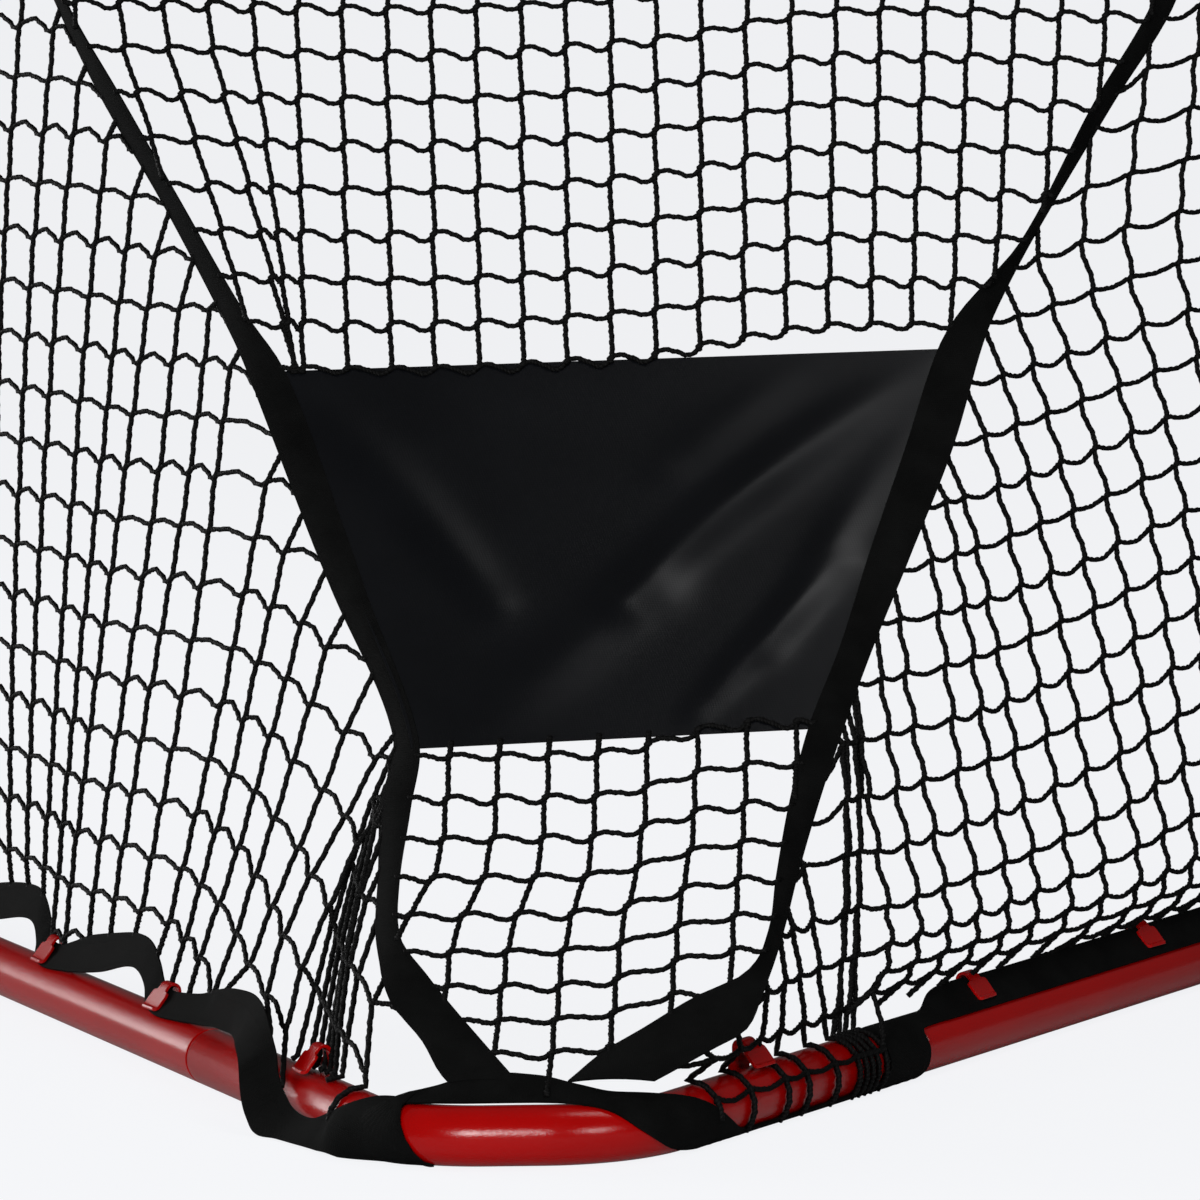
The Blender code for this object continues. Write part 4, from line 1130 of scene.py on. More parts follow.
class Net:
    """Cords and knots of one net, gathered as arrays and built as one mesh."""

    def __init__(self):
        self.paths = []
        self.normals = []
        self.radii = []
        self.knots = []

    def row(self, start, end, up, normal, wave=1.0, shape=None):
        """Level cord between two points, wavy upright."""
        sizes = bpy.context.scene.goal_sizes
        shape = ROW_WAVE if shape is None else shape
        line = np.outer(1 - STEPS, start) + np.outer(STEPS, end)
        self.paths.append(line + np.outer(shape * sizes.row_wave * wave, up))
        self.normals.append(normal)
        self.radii.append(sizes.row_cord / 2)

    def column(self, start, end, across, normal, jog=0.0010, bow=0.0, curl=0.0):
        """Upright cord between two points, bent sideways."""
        line = np.outer(1 - STEPS, start) + np.outer(STEPS, end)
        sway = COLUMN_JOG * jog + bow * np.sin(np.pi * STEPS) + curl * np.sin(2 * np.pi * STEPS)
        self.strand(line + np.outer(sway, across), normal)

    def strand(self, path, normal):
        """Upright cord along a ready line."""
        self.paths.append(path)
        self.normals.append(normal)
        self.radii.append(bpy.context.scene.goal_sizes.column_cord / 2)

    def knot(self, centre, across, up, normal):
        self.knots.append((centre, across, up, normal))

    def build(self, name):
        """One mesh of all cords and knots, with texture coordinates that wind with the plies."""
        paths = np.array(self.paths)
        normals = np.array(self.normals)[:, None, :]
        radii = np.array(self.radii)[:, None, None]
        ways = np.gradient(paths, axis=1)
        ways /= np.linalg.norm(ways, axis=2, keepdims=True) + 1e-12
        side = np.cross(ways, np.broadcast_to(normals, ways.shape))
        side /= np.linalg.norm(side, axis=2, keepdims=True) + 1e-12
        face = np.cross(side, ways)
        count = len(paths)
        turn = np.arange(CORD_SIDES) * 2 * math.pi / CORD_SIDES
        lobes = 1.0 + PLY_LOBE * np.cos(PLIES * turn)
        rings = []
        for k in range(RINGS):
            angle = turn + CORD_TURN * k
            ring = (side[:, k, None, :] * np.cos(angle)[None, :, None]
                    + face[:, k, None, :] * np.sin(angle)[None, :, None])
            rings.append(paths[:, k, None, :] + ring * radii * lobes[None, :, None])
        verts = np.stack(rings, 1).reshape(-1, 3)
        base = np.arange(count)[:, None, None] * RINGS * CORD_SIDES
        ring = np.arange(RINGS - 1)[None, :, None] * CORD_SIDES
        s = np.arange(CORD_SIDES)[None, None, :]
        t = (s + 1) % CORD_SIDES
        quads = np.stack([base + ring + s, base + ring + t, base + ring + CORD_SIDES + t,
                          base + ring + CORD_SIDES + s], -1).reshape(-1, 4)
        lengths = np.concatenate([np.zeros((count, 1)), np.cumsum(
            np.linalg.norm(np.diff(paths, axis=1), axis=2), axis=1)], 1)
        u0 = np.broadcast_to(lengths[:, :-1, None], (count, RINGS - 1, CORD_SIDES))
        u1 = np.broadcast_to(lengths[:, 1:, None], (count, RINGS - 1, CORD_SIDES))
        lead = np.arange(RINGS)[None, :, None] * CORD_TURN / (2 * math.pi)
        v0 = np.broadcast_to(s / CORD_SIDES, u0.shape) + lead[:, :-1]
        v1 = v0 + CORD_TURN / (2 * math.pi)
        step = 1 / CORD_SIDES
        uv = np.stack([u0, v0, u0, v0 + step, u1, v1 + step, u1, v1], -1).reshape(-1)
        faces = [tuple(q) for q in quads.tolist()]
        caps = []
        for first in (0, (RINGS - 1) * CORD_SIDES):
            fan = np.arange(count)[:, None] * RINGS * CORD_SIDES + first + np.arange(CORD_SIDES)[None, :]
            caps += [tuple(f) if first else tuple(reversed(f)) for f in fan.tolist()]
        knot_verts, knot_faces = self.knot_mesh(len(verts))
        mesh = bpy.data.meshes.new(name)
        mesh.from_pydata(np.vstack([verts, knot_verts]).tolist(), [], faces + caps + knot_faces)
        layer = mesh.uv_layers.new(name="UVMap")
        whole = np.zeros(len(mesh.loops) * 2)
        whole[:len(uv)] = uv
        layer.data.foreach_set("uv", whole)
        mesh.shade_smooth()
        return link_object(name, mesh)

    def knot_mesh(self, first):
        """Points and faces of the knots, numbered from a first point."""
        bm = bmesh.new()
        bmesh.ops.create_icosphere(bm, subdivisions=1, radius=1.0)
        ball = np.array([tuple(v.co) for v in bm.verts])
        tris = [tuple(v.index for v in f.verts) for f in bm.faces]
        bm.free()
        ball = ball * np.array(KNOT_SHAPE)
        turned = ball.copy()
        turned[:, 0] = ball[:, 0] * math.cos(KNOT_LEAN) - ball[:, 1] * math.sin(KNOT_LEAN)
        turned[:, 1] = ball[:, 0] * math.sin(KNOT_LEAN) + ball[:, 1] * math.cos(KNOT_LEAN)
        verts, faces = [], []
        for number, (centre, across, up, normal) in enumerate(self.knots):
            basis = np.array([across, up, normal])
            verts.append(np.asarray(centre) + (turned * KNOT_SIZE) @ basis)
            offset = first + number * len(ball)
            faces += [tuple(v + offset for v in tri) for tri in tris]
        return np.vstack(verts), faces


def net_edge_point(member, at):
    """Point just inside a member tape's net edge."""
    near, edge = member.row(at)[-2:]
    return np.array(near.lerp(edge, 0.75))


def unit(v):
    return v / (np.linalg.norm(v) + 1e-12)


# Back nets: lean of the upper net's columns, as x at REFERENCE_Z and drift per metre down
REFERENCE_Z = 0.68
COLUMN_DRIFT = ((-0.60, 0.36), (-0.30, 0.38), (-0.26, 0.34), (-0.23, 0.19), (-0.20, 0.08), (0.0, 0.04),
                (0.1, 0.02), (0.226, -0.03), (0.32, -0.09), (0.60, -0.12))
UPPER_START, UPPER_PITCH = -0.1045, 0.0315
LOWER_START, LOWER_PITCH = 0.001, 0.0325
TOP_SPREAD = 0.12
# Rise of the upper net's rows: a gentle swell, and a step up across the middle
SWELL, SWELL_START, SWELL_LENGTH = 0.005, 0.04, 0.55
STEP_RISE, STEP_START, STEP_RUN = 0.013, 0.040, 0.15
CELL_WIDTH = 0.031
SEAM_INSET = 0.004
NET_TUCK = 0.003
BACK_BOW, SIDE_BOW = 0.0006, 0.0008
# Lengths along the net: panel to first row above and below it, and least stretch left at an end
FIRST_ABOVE, FIRST_BELOW, LAST_STRETCH = 0.006, 0.008, 0.012
TOP_REACH = 0.585
ACROSS = np.array((1.0, 0.0, 0.0))


def upper_x(c, z):
    """Columns of the upper net drift below the reference height and spread above it."""
    if z < REFERENCE_Z:
        drift = float(np.interp(c, *zip(*COLUMN_DRIFT)))
        return c + drift * (REFERENCE_Z - z)
    return c * (1 + TOP_SPREAD * (z - REFERENCE_Z) / (NET_TOP - REFERENCE_Z))


def upper_lift(x):
    swell = SWELL * math.sin(2 * math.pi * (x - SWELL_START) / SWELL_LENGTH)
    return swell + STEP_RISE * smooth((x - STEP_START) / STEP_RUN)


def lower_x(c, z):
    """Columns of the lower net shift to the left near the rear tube, those on the left most."""
    return c - (0.0165 - 0.11 * c) * smooth((0.165 - z) / 0.05)


def lower_lift(x):
    return 0.017 * smooth((x - 0.03) / 0.10)


def back_place(x, z):
    return np.array((x, profile_y(z), z))


def seam_x(side, z):
    """Where the back net ends under a seam tape."""
    return seam_edge(side, min(max(z, NET_FOOT), NET_TOP), True).x + side * NET_TUCK


def fill_back_net(net, levels, columns, column_x, lift, top, bottom):
    """Cords between the seams: levels are row heights, top and bottom give the ends of a column."""
    places = {}
    for j, z0 in enumerate(levels):
        for i, c in enumerate(columns):
            x = column_x(c, z0)
            z = z0 + lift(x)
            if seam_x(LEFT, z) + SEAM_INSET < x < seam_x(RIGHT, z) - SEAM_INSET:
                places[i, j] = back_place(x, z)
    for (i, j), place in places.items():
        z = float(place[2])
        normal = np.array(back_normal(z))
        up = np.array(back_tangent(z))
        net.knot(place, ACROSS, up, normal)
        beside = places.get((i + 1, j))
        wobble = 1 + 0.25 * uneven(i, j)
        if beside is not None:
            net.row(place, beside, up, normal, wobble)
        else:
            x = seam_x(RIGHT, z)
            net.row(place, back_place(x, z), up, normal, wobble * min((x - place[0]) / CELL_WIDTH, 1))
        if (i - 1, j) not in places:
            x = seam_x(LEFT, z)
            net.row(back_place(x, z), place, up, normal, wobble * min((place[0] - x) / CELL_WIDTH, 1))
        above = places.get((i, j + 1))
        if above is not None:
            net.column(place, above, ACROSS, normal, bow=BACK_BOW * math.sin(i * 4.1 + j * 2.7))
        else:
            end = column_end(columns[i], levels, j, 1, column_x, lift, top)
            if end is not None:
                net.column(place, end, ACROSS, normal, 0.0)
        if (i, j - 1) not in places:
            end = column_end(columns[i], levels, j, -1, column_x, lift, bottom)
            if end is not None:
                net.column(end, place, ACROSS, normal, 0.0)


def column_end(c, levels, j, step, column_x, lift, limit):
    """Where a column leaves the net past its last knot: at a seam or at the net's end."""
    z = levels[j]
    stop = limit(column_x(c, z))
    goal = levels[j + step] if 0 <= j + step < len(levels) else stop
    for k in range(1, 25):
        now = z + (goal - z) * k / 24
        x = column_x(c, now)
        high = now + lift(x)
        if not seam_x(LEFT, high) < x < seam_x(RIGHT, high):
            return back_place(x, high)
        if (high - stop) * step >= 0:
            return back_place(x, stop)
    return back_place(x, high)


def across_panel(ends, x, left, width):
    """Height of a panel edge above a point, from its heights at the two seams."""
    return ends[0] + (ends[1] - ends[0]) * (x - left) / width


def build_upper_back_net(finish, mesh):
    start = length_at(PANEL_TOP[0]) + FIRST_ABOVE
    levels = []
    while start + len(levels) * mesh < LENGTHS[-1] - LAST_STRETCH:
        levels.append(height_at(start + len(levels) * mesh))
    columns = [UPPER_START + UPPER_PITCH * k for k in range(-15, 22)]
    net = Net()
    fill_back_net(net, levels, columns, upper_x, upper_lift, lambda x: NET_TOP,
                  lambda x: across_panel(PANEL_TOP, x, -0.2, 0.45) - 0.002)
    bar = crossbar_member()
    forward = np.array((0, -1.0, 0))
    for c in columns:
        x = upper_x(c, NET_TOP)
        if abs(x) < TOP_REACH:
            top = back_place(x, NET_TOP - 0.0002)
            net.column(top, net_edge_point(bar, x), ACROSS, forward, 0.0)
            net.knot(top, ACROSS, np.array((0, 0, 1.0)), forward)
    dress(net.build("back_net_cords"), finish, "black_cord", "back_net")


def build_lower_back_net(finish, mesh):
    start = length_at(PANEL_BOTTOM[0]) - FIRST_BELOW
    levels = []
    while start - len(levels) * mesh > LAST_STRETCH:
        levels.append(height_at(start - len(levels) * mesh))
    levels.reverse()
    columns = [LOWER_START + LOWER_PITCH * k for k in range(-5, 8)]
    net = Net()
    fill_back_net(net, levels, columns, lower_x, lower_lift,
                  lambda x: across_panel(PANEL_BOTTOM, x, -0.09, 0.26) + 0.002,
                  lambda x: NET_FOOT + 0.0005)
    dress(net.build("lower_back_net_cords"), finish, "black_cord", "lower_back_net")


def build_back_nets():
    mesh = bpy.context.scene.goal_sizes.mesh_pitch
    build_upper_back_net(shared(twisted_cord), mesh)
    build_lower_back_net(shared(twisted_cord), mesh)


# Side nets: columns stand on the ground tape or hang over the tube, and end on the seam tape

CORD_REACH = RADIUS + 0.0024
SKIN_TOP = math.radians(100)
SKIN_ROW = math.radians(30)
SHELF = 0.034
# Places along the rail where the columns stand, from the rear
COLUMN_FEET = {
    LEFT: (0.168, 0.222, 0.275, 0.321, 0.367, 0.401, 0.435, 0.489, 0.543, 0.588, 0.634, 0.662, 0.691, 0.728,
           0.766),
    RIGHT: (0.277, 0.320, 0.363, 0.405, 0.447, 0.489, 0.540, 0.592, 0.644, 0.684, 0.724, 0.763),
}
# Columns that hang over the tube at the rear corner: place along the rail and height of the head
CORNER_COLUMNS = {
    LEFT: ((-0.030, 0.078), (0.014, 0.104), (0.058, 0.134), (0.071, 0.158), (0.081, 0.178), (0.092, 0.192),
           (0.105, 0.204), (0.121, 0.216), (0.144, 0.228)),
    RIGHT: ((-0.020, 0.058), (0.022, 0.066), (0.065, 0.079), (0.110, 0.098), (0.137, 0.118), (0.175, 0.132),
            (0.204, 0.158), (0.213, 0.228), (0.221, 0.238), (0.229, 0.246), (0.240, 0.256)),
}
# Forward lean of the columns, by the place of the foot on the goal's length
COLUMN_LEAN = {
    LEFT: ((-0.37, 4.5), (-0.274, 2.2), (-0.19, 0.40), (-0.13, 0.25), (-0.035, 0.130), (0.045, 0.060),
           (0.167, 0.03), (0.55, 0.0)),
    RIGHT: ((-0.36, 1.2), (-0.28, 0.57), (-0.195, 0.22), (-0.08, 0.0), (0.058, -0.05), (0.165, -0.085),
            (0.40, -0.05), (0.55, 0.0)),
}
# Rise of the rows from level, by place on the goal's length: on the left by the column's foot
ROW_RISE = {
    LEFT: ((-0.52, -0.122), (-0.39, -0.086), (-0.37, -0.074), (-0.274, -0.0480), (-0.191, -0.0180),
           (-0.130, -0.0025), (-0.032, 0.0), (0.05, -0.002), (0.11, 0.006), (0.17, 0.008), (0.55, 0.030)),
    RIGHT: ((-0.50, -0.006), (-0.25, -0.003), (-0.18, 0.0), (-0.08, 0.006), (0.05, 0.018), (0.14, 0.040),
            (0.35, 0.075), (0.55, 0.100)),
}
FIRST_LEVEL = {LEFT: 0.0585, RIGHT: -0.0162}
LEVEL_STEP = {LEFT: 0.0365, RIGHT: 0.0343}
# The right net's lowest rows lie crumpled on a shelf over the tape, at these shares of its height,
# and drag its columns to the rear; its corner columns have rows of their own
CRUMPLED = (0.07, 0.20, 0.38, 0.65)
CRUMPLED_DRAG, CRUMPLED_FADE = 0.050, 0.028
SHELF_BULGE, SHELF_FADE = 0.016, 0.03
CORNER_LEVEL, CORNER_STEP = 0.118, 0.031
# Above this height the right net's columns lean forward again
HIGH_LEAN, HIGH_LEAN_FROM = 0.35, 0.52
# Slack of the corner columns along the tube and away from it
CORNER_SLACK, CORNER_SLACK_RATE, CORNER_BOW = 0.006, 390, 0.005
LEAST_KNOT_GAP = 0.005
SHORTEST_CORD = 0.004
# Angle on the tube where the corner columns run under the tape
TAPE_EDGE_ANGLE = {
    LEFT: ((-0.060, 104), (-0.040, 100), (-0.014, 60), (-0.002, 34), (0.018, 4), (0.045, 12),
           (0.062, 100), (0.150, 100)),
    RIGHT: ((-0.040, 90), (0.004, 38), (0.034, -22), (0.070, -44), (0.250, -44)),
}
SIDE_WAVE = {
    LEFT: ((0, 0.15, 0.4, 0.7, 0.86, 1), (0, 0.7, 1.2, 0.2, -0.8, 0)),
    RIGHT: ((0, 0.12, 0.35, 0.6, 0.85, 1), (0, -0.15, -1.0, -1.1, -0.4, 0)),
}
# Where the left net's rearmost columns with a foot on the tape meet its hanging stretch
DROP_FEET = ((0.130, 0.090), (0.168, 0.100), (0.222, 0.130), (0.275, 0.275))
SIDE_BULGE = 0.012
COLUMN_SWAY = {LEFT: 0.0011, RIGHT: 0.0026}
SEAM_TUCK = 0.2
# Height over which a column's lean grows, its steepest slope and the rise over which it eases off
LEAN_HEIGHT = 0.37
STEEPEST_LEAN = {
    LEFT: ((-0.37, 0.74), (-0.274, 0.47), (-0.19, 0.30), (-0.13, 0.27), (-0.035, 0.40), (0.10, 0.72)),
    RIGHT: ((-0.57, 0.72), (0.57, 0.72)),
}
LEAN_EASE = {LEFT: ((-0.13, 0.60), (-0.035, 0.25)), RIGHT: ((-0.57, 0.25), (0.57, 0.25))}
SEAM_MARGIN = {LEFT: 0.002, RIGHT: 0.0}
FULL_WAVE = 0.035
SIDE_JOG = 0.0009
HALVINGS = 24
MOST_ROWS = 60


def by_length(stations, y):
    return float(np.interp(y, *zip(*stations)))


def rail_edge(side, at):
    """Point just inside the ground tape's net edge, where a column starts."""
    if side == RIGHT:
        lip, net = TAPE_AT_CLIP[-1]
        return beside_rail(side, at, lip, net)
    at = float(np.interp(at, *zip(*DROP_FEET))) if at < DROP_FEET[-1][0] else at
    rows = sorted((row[3], row[4], row[5]) for row in LEFT_TAPE)
    sideways = float(np.interp(at * 1000, [r[0] for r in rows], [r[1] for r in rows]))
    height = float(np.interp(at * 1000, [r[0] for r in rows], [r[2] for r in rows]))
    return beside_rail(side, at, sideways / 1000, height / 1000 - 0.002)


def last_height(low, holds):
    """Greatest height up to the net's top at which a condition still holds, by halving."""
    high = NET_TOP
    for _ in range(HALVINGS):
        z = (low + high) / 2
        if holds(z):
            low = z
        else:
            high = z
    return low


def seam_height(side, y):
    """Height at which the seam tape's outer edge passes a place on the goal's length."""
    return last_height(0.045, lambda z: seam_edge(side, z, False).y < y)


SEAM_PLACES = np.linspace(REAR_Y, POST_Y, 140)
SEAM_HEIGHTS = {}


def net_surface(side, y, z):
    """Point of a side net between the rail and the seam."""
    if side not in SEAM_HEIGHTS:
        SEAM_HEIGHTS[side] = [seam_height(side, float(place)) for place in SEAM_PLACES]
    top = float(np.interp(y, SEAM_PLACES, SEAM_HEIGHTS[side]))
    at = (y - ground_frame(side, 0)[0].y) / math.cos(GROUND_ANGLE)
    rail = beside_rail(side, at, -0.004, SHELF)
    outward = ground_frame(side, at)[2]
    seam = seam_edge(side, top, False)
    share = (z - rail.z) / max(seam.z - rail.z, 0.01)
    bulge = SIDE_BULGE * math.sin(math.pi * min(max(share, 0.0), 1.0))
    return rail.lerp(seam, share) + outward * bulge


class Column:
    """One upright cord of a side net."""

    def __init__(self, side, at, head_z=None):
        self.side = side
        self.at = at
        self.corner = head_z is not None
        if self.corner:
            self.foot = on_skin(side, at, SKIN_TOP, CORD_REACH)
            self.head = seam_edge(side, head_z, False)
            return
        self.foot_y = ground_frame(side, at)[0].y
        self.foot = rail_edge(side, at - (CRUMPLED_DRAG if side == RIGHT else 0.0))
        top = last_height(self.foot.z + 0.01, self.before_seam)
        self.head = seam_edge(side, top, False)

    def before_seam(self, z):
        return seam_edge(self.side, z, False).y + SEAM_MARGIN[self.side] < self.lean_y(z)

    def lean_y(self, z):
        """Place on the goal's length at a height: the lean grows to its steepest, then eases off."""
        rise = max(z - 0.05, 0.0)
        lean = by_length(COLUMN_LEAN[self.side], self.foot_y) / LEAN_HEIGHT
        steepest = by_length(STEEPEST_LEAN[self.side], self.foot_y)
        ease = by_length(LEAN_EASE[self.side], self.foot_y)
        bend = min(rise, LEAN_HEIGHT, steepest / max(2 * abs(lean), 1e-6))
        eased = ease * (1 - math.exp((bend - rise) / ease))
        high = 0.0
        if self.side == RIGHT:
            high = HIGH_LEAN * max(z - HIGH_LEAN_FROM, 0.0) * smooth((0.50 - self.foot_y) / 0.25)
        return self.foot_y + lean * bend * (bend + 2 * eased) + high

    def level(self, j):
        """Height of the j-th row at this column."""
        side = self.side
        crumpled = len(CRUMPLED)
        if side == LEFT:
            y = self.foot.y if self.corner else self.foot_y
            return FIRST_LEVEL[side] + LEVEL_STEP[side] * j + by_length(ROW_RISE[side], y)
        if self.corner:
            return CORNER_LEVEL + (CORNER_STEP if j < crumpled else LEVEL_STEP[side]) * (j - crumpled)
        y = self.foot_y
        for _ in range(2):
            z = FIRST_LEVEL[side] + LEVEL_STEP[side] * max(j, crumpled) + by_length(ROW_RISE[side], y)
            y = self.lean_y(z)
        if j < crumpled:
            shelf = RADIUS + SHELF
            return shelf + (z - shelf) * CRUMPLED[j]
        return z

    def point(self, z):
        """Point of the column at a height."""
        if self.corner:
            share = (z - self.foot.z) / (self.head.z - self.foot.z)
            _, along, outward = ground_frame(self.side, self.at)
            arch = math.sin(math.pi * min(max(share, 0.0), 1.0))
            slack = along * CORNER_SLACK * math.sin(self.at * CORNER_SLACK_RATE) + outward * CORNER_BOW
            return self.foot.lerp(self.head, share) + slack * arch
        place = net_surface(self.side, self.lean_y(z), z)
        if self.side == RIGHT:
            above = max(z - RADIUS - SHELF, 0.0)
            _, along, outward = ground_frame(self.side, self.at)
            place += outward * SHELF_BULGE * (above / SHELF_FADE) * math.exp(1 - above / SHELF_FADE)
            place -= along * CRUMPLED_DRAG * math.exp(-above / CRUMPLED_FADE)
        return place

    def knots(self):
        """Rows that cross this column, with the points where they do."""
        found = {}
        for j in range(MOST_ROWS):
            z = self.level(j)
            if z > self.head.z - LEAST_KNOT_GAP:
                break
            if z > self.foot.z + 0.006:
                found[j] = np.array(self.point(z))
        if self.corner:
            first = min(found) if found else 0
            if first > 0 and by_length(TAPE_EDGE_ANGLE[self.side], self.at) < math.degrees(SKIN_ROW) - 12:
                found[first - 1] = np.array(on_skin(self.side, self.at, SKIN_ROW, CORD_REACH))
        return found

    def skin(self, top, bottom):
        """Path over the tube between two angles."""
        turns = np.linspace(top, bottom, 9)
        return [np.array(on_skin(self.side, self.at, turn, CORD_REACH)) for turn in turns]


def resample(points):
    """The same line with as many points as a cord has rings."""
    points = np.array(points, float)
    lengths = np.concatenate([[0.0], np.cumsum(np.linalg.norm(np.diff(points, axis=0), axis=1))])
    goal = np.linspace(0, lengths[-1], RINGS)
    return np.stack([np.interp(goal, lengths, points[:, k]) for k in range(3)], 1)


def side_columns(side):
    places = list(COLUMN_FEET[side])
    mesh = bpy.context.scene.goal_sizes.mesh_pitch
    while places[-1] + mesh < RAIL_END - 0.040:
        places.append(places[-1] + mesh)
    corner = [Column(side, at, z) for at, z in CORNER_COLUMNS[side]]
    return corner + [Column(side, at) for at in places]


def side_end(beside, place):
    """Where a row ends that the next column doesn't carry: on the tape or under the seam."""
    if place[2] > beside.head.z - LEAST_KNOT_GAP:
        z = beside.head.z + (float(place[2]) - beside.head.z) * 0.6
        outer, inner = seam_edge(beside.side, z, False), seam_edge(beside.side, z, True)
        return np.array(outer.lerp(inner, SEAM_TUCK))
    return None if beside.corner else np.array(beside.foot)


def row_ends(columns, knots, i, j, place):
    """Ends of the level cords from a knot: one forward, and one to the rear where no knot sends it."""
    if i + 1 < len(columns):
        beside = knots[i + 1].get(j)
        ends = [side_end(columns[i + 1], place) if beside is None else beside]
    else:
        low, high = POST_TAPE
        z = min(max(float(place[2]), low + LEAST_KNOT_GAP), high - LEAST_KNOT_GAP)
        ends = [net_edge_point(post_member(columns[i].side), z)]
    if i > 0 and j not in knots[i - 1]:
        ends.append(side_end(columns[i - 1], place))
    return [end for end in ends if end is not None and np.linalg.norm(end - place) >= SHORTEST_CORD]


def add_foot(net, column, found, across, normal):
    """Lowest stretch of a column: down to the tape, or over the tube to where the tape hides it."""
    lowest = min(found)
    start = found[lowest]
    if not column.corner:
        net.column(np.array(column.foot), start, across, normal, 0.0)
        return
    edge = math.radians(by_length(TAPE_EDGE_ANGLE[column.side], column.at) - 8)
    if start[2] < column.foot.z:
        net.strand(resample(column.skin(SKIN_ROW, edge)), normal)
        upper = found.get(lowest + 1)
        upper = np.array(column.head) if upper is None else upper
        net.strand(resample([upper] + column.skin(SKIN_TOP, SKIN_ROW)), normal)
    else:
        net.strand(resample([start] + column.skin(SKIN_TOP, min(edge, SKIN_TOP - 0.05))), normal)


def add_column(net, columns, knots, i, wave):
    """One column's knots, the level cords that leave them and the cord from knot to knot."""
    column, found = columns[i], knots[i]
    _, along, outward = ground_frame(column.side, column.at)
    normal = unit(np.array(outward) + np.array((0, -0.3, 0.2)))
    view_right = np.array(along) * column.side
    sway = COLUMN_SWAY[column.side] * (0.3 if column.corner else 1.0)
    for j, place in found.items():
        above = found.get(j + 1)
        up = unit((above if above is not None else np.array(column.head)) - place)
        wobble = 0.85 + 0.35 * uneven(i, j)
        net.knot(place, unit(view_right), up, normal)
        for end in row_ends(columns, knots, i, j, place):
            reach = min(np.linalg.norm(end - place) / FULL_WAVE, 1.0)
            rightward = float((end - place) @ view_right) > 0
            first, last = (place, end) if rightward else (end, place)
            net.row(first, last, up, normal, wobble * reach, wave)
        bow = SIDE_BOW * math.sin(i * 3.1 + j * 2.3)
        over = column.corner and j == min(found) and place[2] < column.foot.z
        if above is not None and not over:
            net.column(place, above, view_right, normal, SIDE_JOG, bow, sway)
        elif above is None:
            tuck = column.head.lerp(seam_edge(column.side, column.head.z, True), SEAM_TUCK)
            net.column(place, np.array(tuck), view_right, normal, 0.0)
    if found:
        add_foot(net, column, found, view_right, normal)


def build_side_net(side):
    columns = side_columns(side)
    knots = [column.knots() for column in columns]
    wave = np.interp(STEPS, *SIDE_WAVE[side])
    net = Net()
    for i in range(len(columns)):
        add_column(net, columns, knots, i, wave)
    obj = net.build(SIDE_NAMES[side] + "_side_net_cords")
    dress(obj, shared(twisted_cord), "black_cord", SIDE_NAMES[side] + "_side_net")


# Camera, floor and lamps

# Glow of the floor to the camera, and its share of what the camera sees beside the shadow
FLOOR_GLOW, FLOOR_GLOW_SHARE = 1.20, 0.80
FLOOR_CENTRE, FLOOR_HALF = (0, 20, 0), 45


def aim(obj, target):
    way = Vector(target) - obj.location
    obj.rotation_euler = way.to_track_quat("-Z", "Y").to_euler()


def softbox(name, place, target, size, power):
    lamp = bpy.data.lights.new(name, "AREA")
    lamp.shape = "RECTANGLE"
    lamp.size, lamp.size_y = size
    lamp.energy = power
    made = bpy.data.objects.new(name, lamp)
    bpy.context.scene.collection.objects.link(made)
    made.location = place
    aim(made, target)
    return made


def build_floor(pale):
    """Floor that takes the goal's shadow and looks like the backdrop to the camera."""
    bm = bmesh.new()
    bmesh.ops.create_grid(bm, x_segments=8, y_segments=8, size=FLOOR_HALF)
    mesh = bpy.data.meshes.new("studio_floor")
    bm.to_mesh(mesh)
    bm.free()
    floor = link_object("studio_floor", mesh)
    floor.location = FLOOR_CENTRE
    n = Nodes("studio_floor")
    mottle = n.noise(3.0, 2.0, n.add("TexCoord").outputs["Object"])
    n.set(Base_Color=n.ramp(mottle, (0.62, 0.63, 0.645), (0.66, 0.665, 0.68)))
    n.shader.inputs["Roughness"].default_value = 0.9
    n.shader.inputs["Specular IOR Level"].default_value = 0.0
    glow = n.add("Emission", {"Color": pale, "Strength": FLOOR_GLOW})
    seen = n.add("LightPath").outputs["Is Camera Ray"]
    share = n.maths("MULTIPLY", seen, FLOOR_GLOW_SHARE)
    mix = n.add("MixShader", {0: share, 1: n.shader.outputs[0], 2: glow.outputs[0]})
    output = n.tree.nodes["Material Output"]
    n.tree.links.new(mix.outputs[0], output.inputs["Surface"])
    floor.data.materials.append(n.finish)


def build_backdrop(pale, sky_strength):
    """World that the camera sees as the backdrop and the goal as faint even light."""
    world = bpy.data.worlds.new("studio")
    bpy.context.scene.world = world
    world.use_nodes = True
    tree = world.node_tree
    backdrop = tree.nodes["Background"]
    path = tree.nodes.new("ShaderNodeLightPath")
    backdrop.inputs["Color"].default_value = pale
    backdrop.inputs["Strength"].default_value = 1.0
    sky = tree.nodes.new("ShaderNodeBackground")
    sky.inputs["Color"].default_value = (1, 1, 1, 1)
    sky.inputs["Strength"].default_value = sky_strength
    mix = tree.nodes.new("ShaderNodeMixShader")
    tree.links.new(path.outputs["Is Camera Ray"], mix.inputs[0])
    tree.links.new(sky.outputs[0], mix.inputs[1])
    tree.links.new(backdrop.outputs[0], mix.inputs[2])
    tree.links.new(mix.outputs[0], tree.nodes["World Output"].inputs["Surface"])


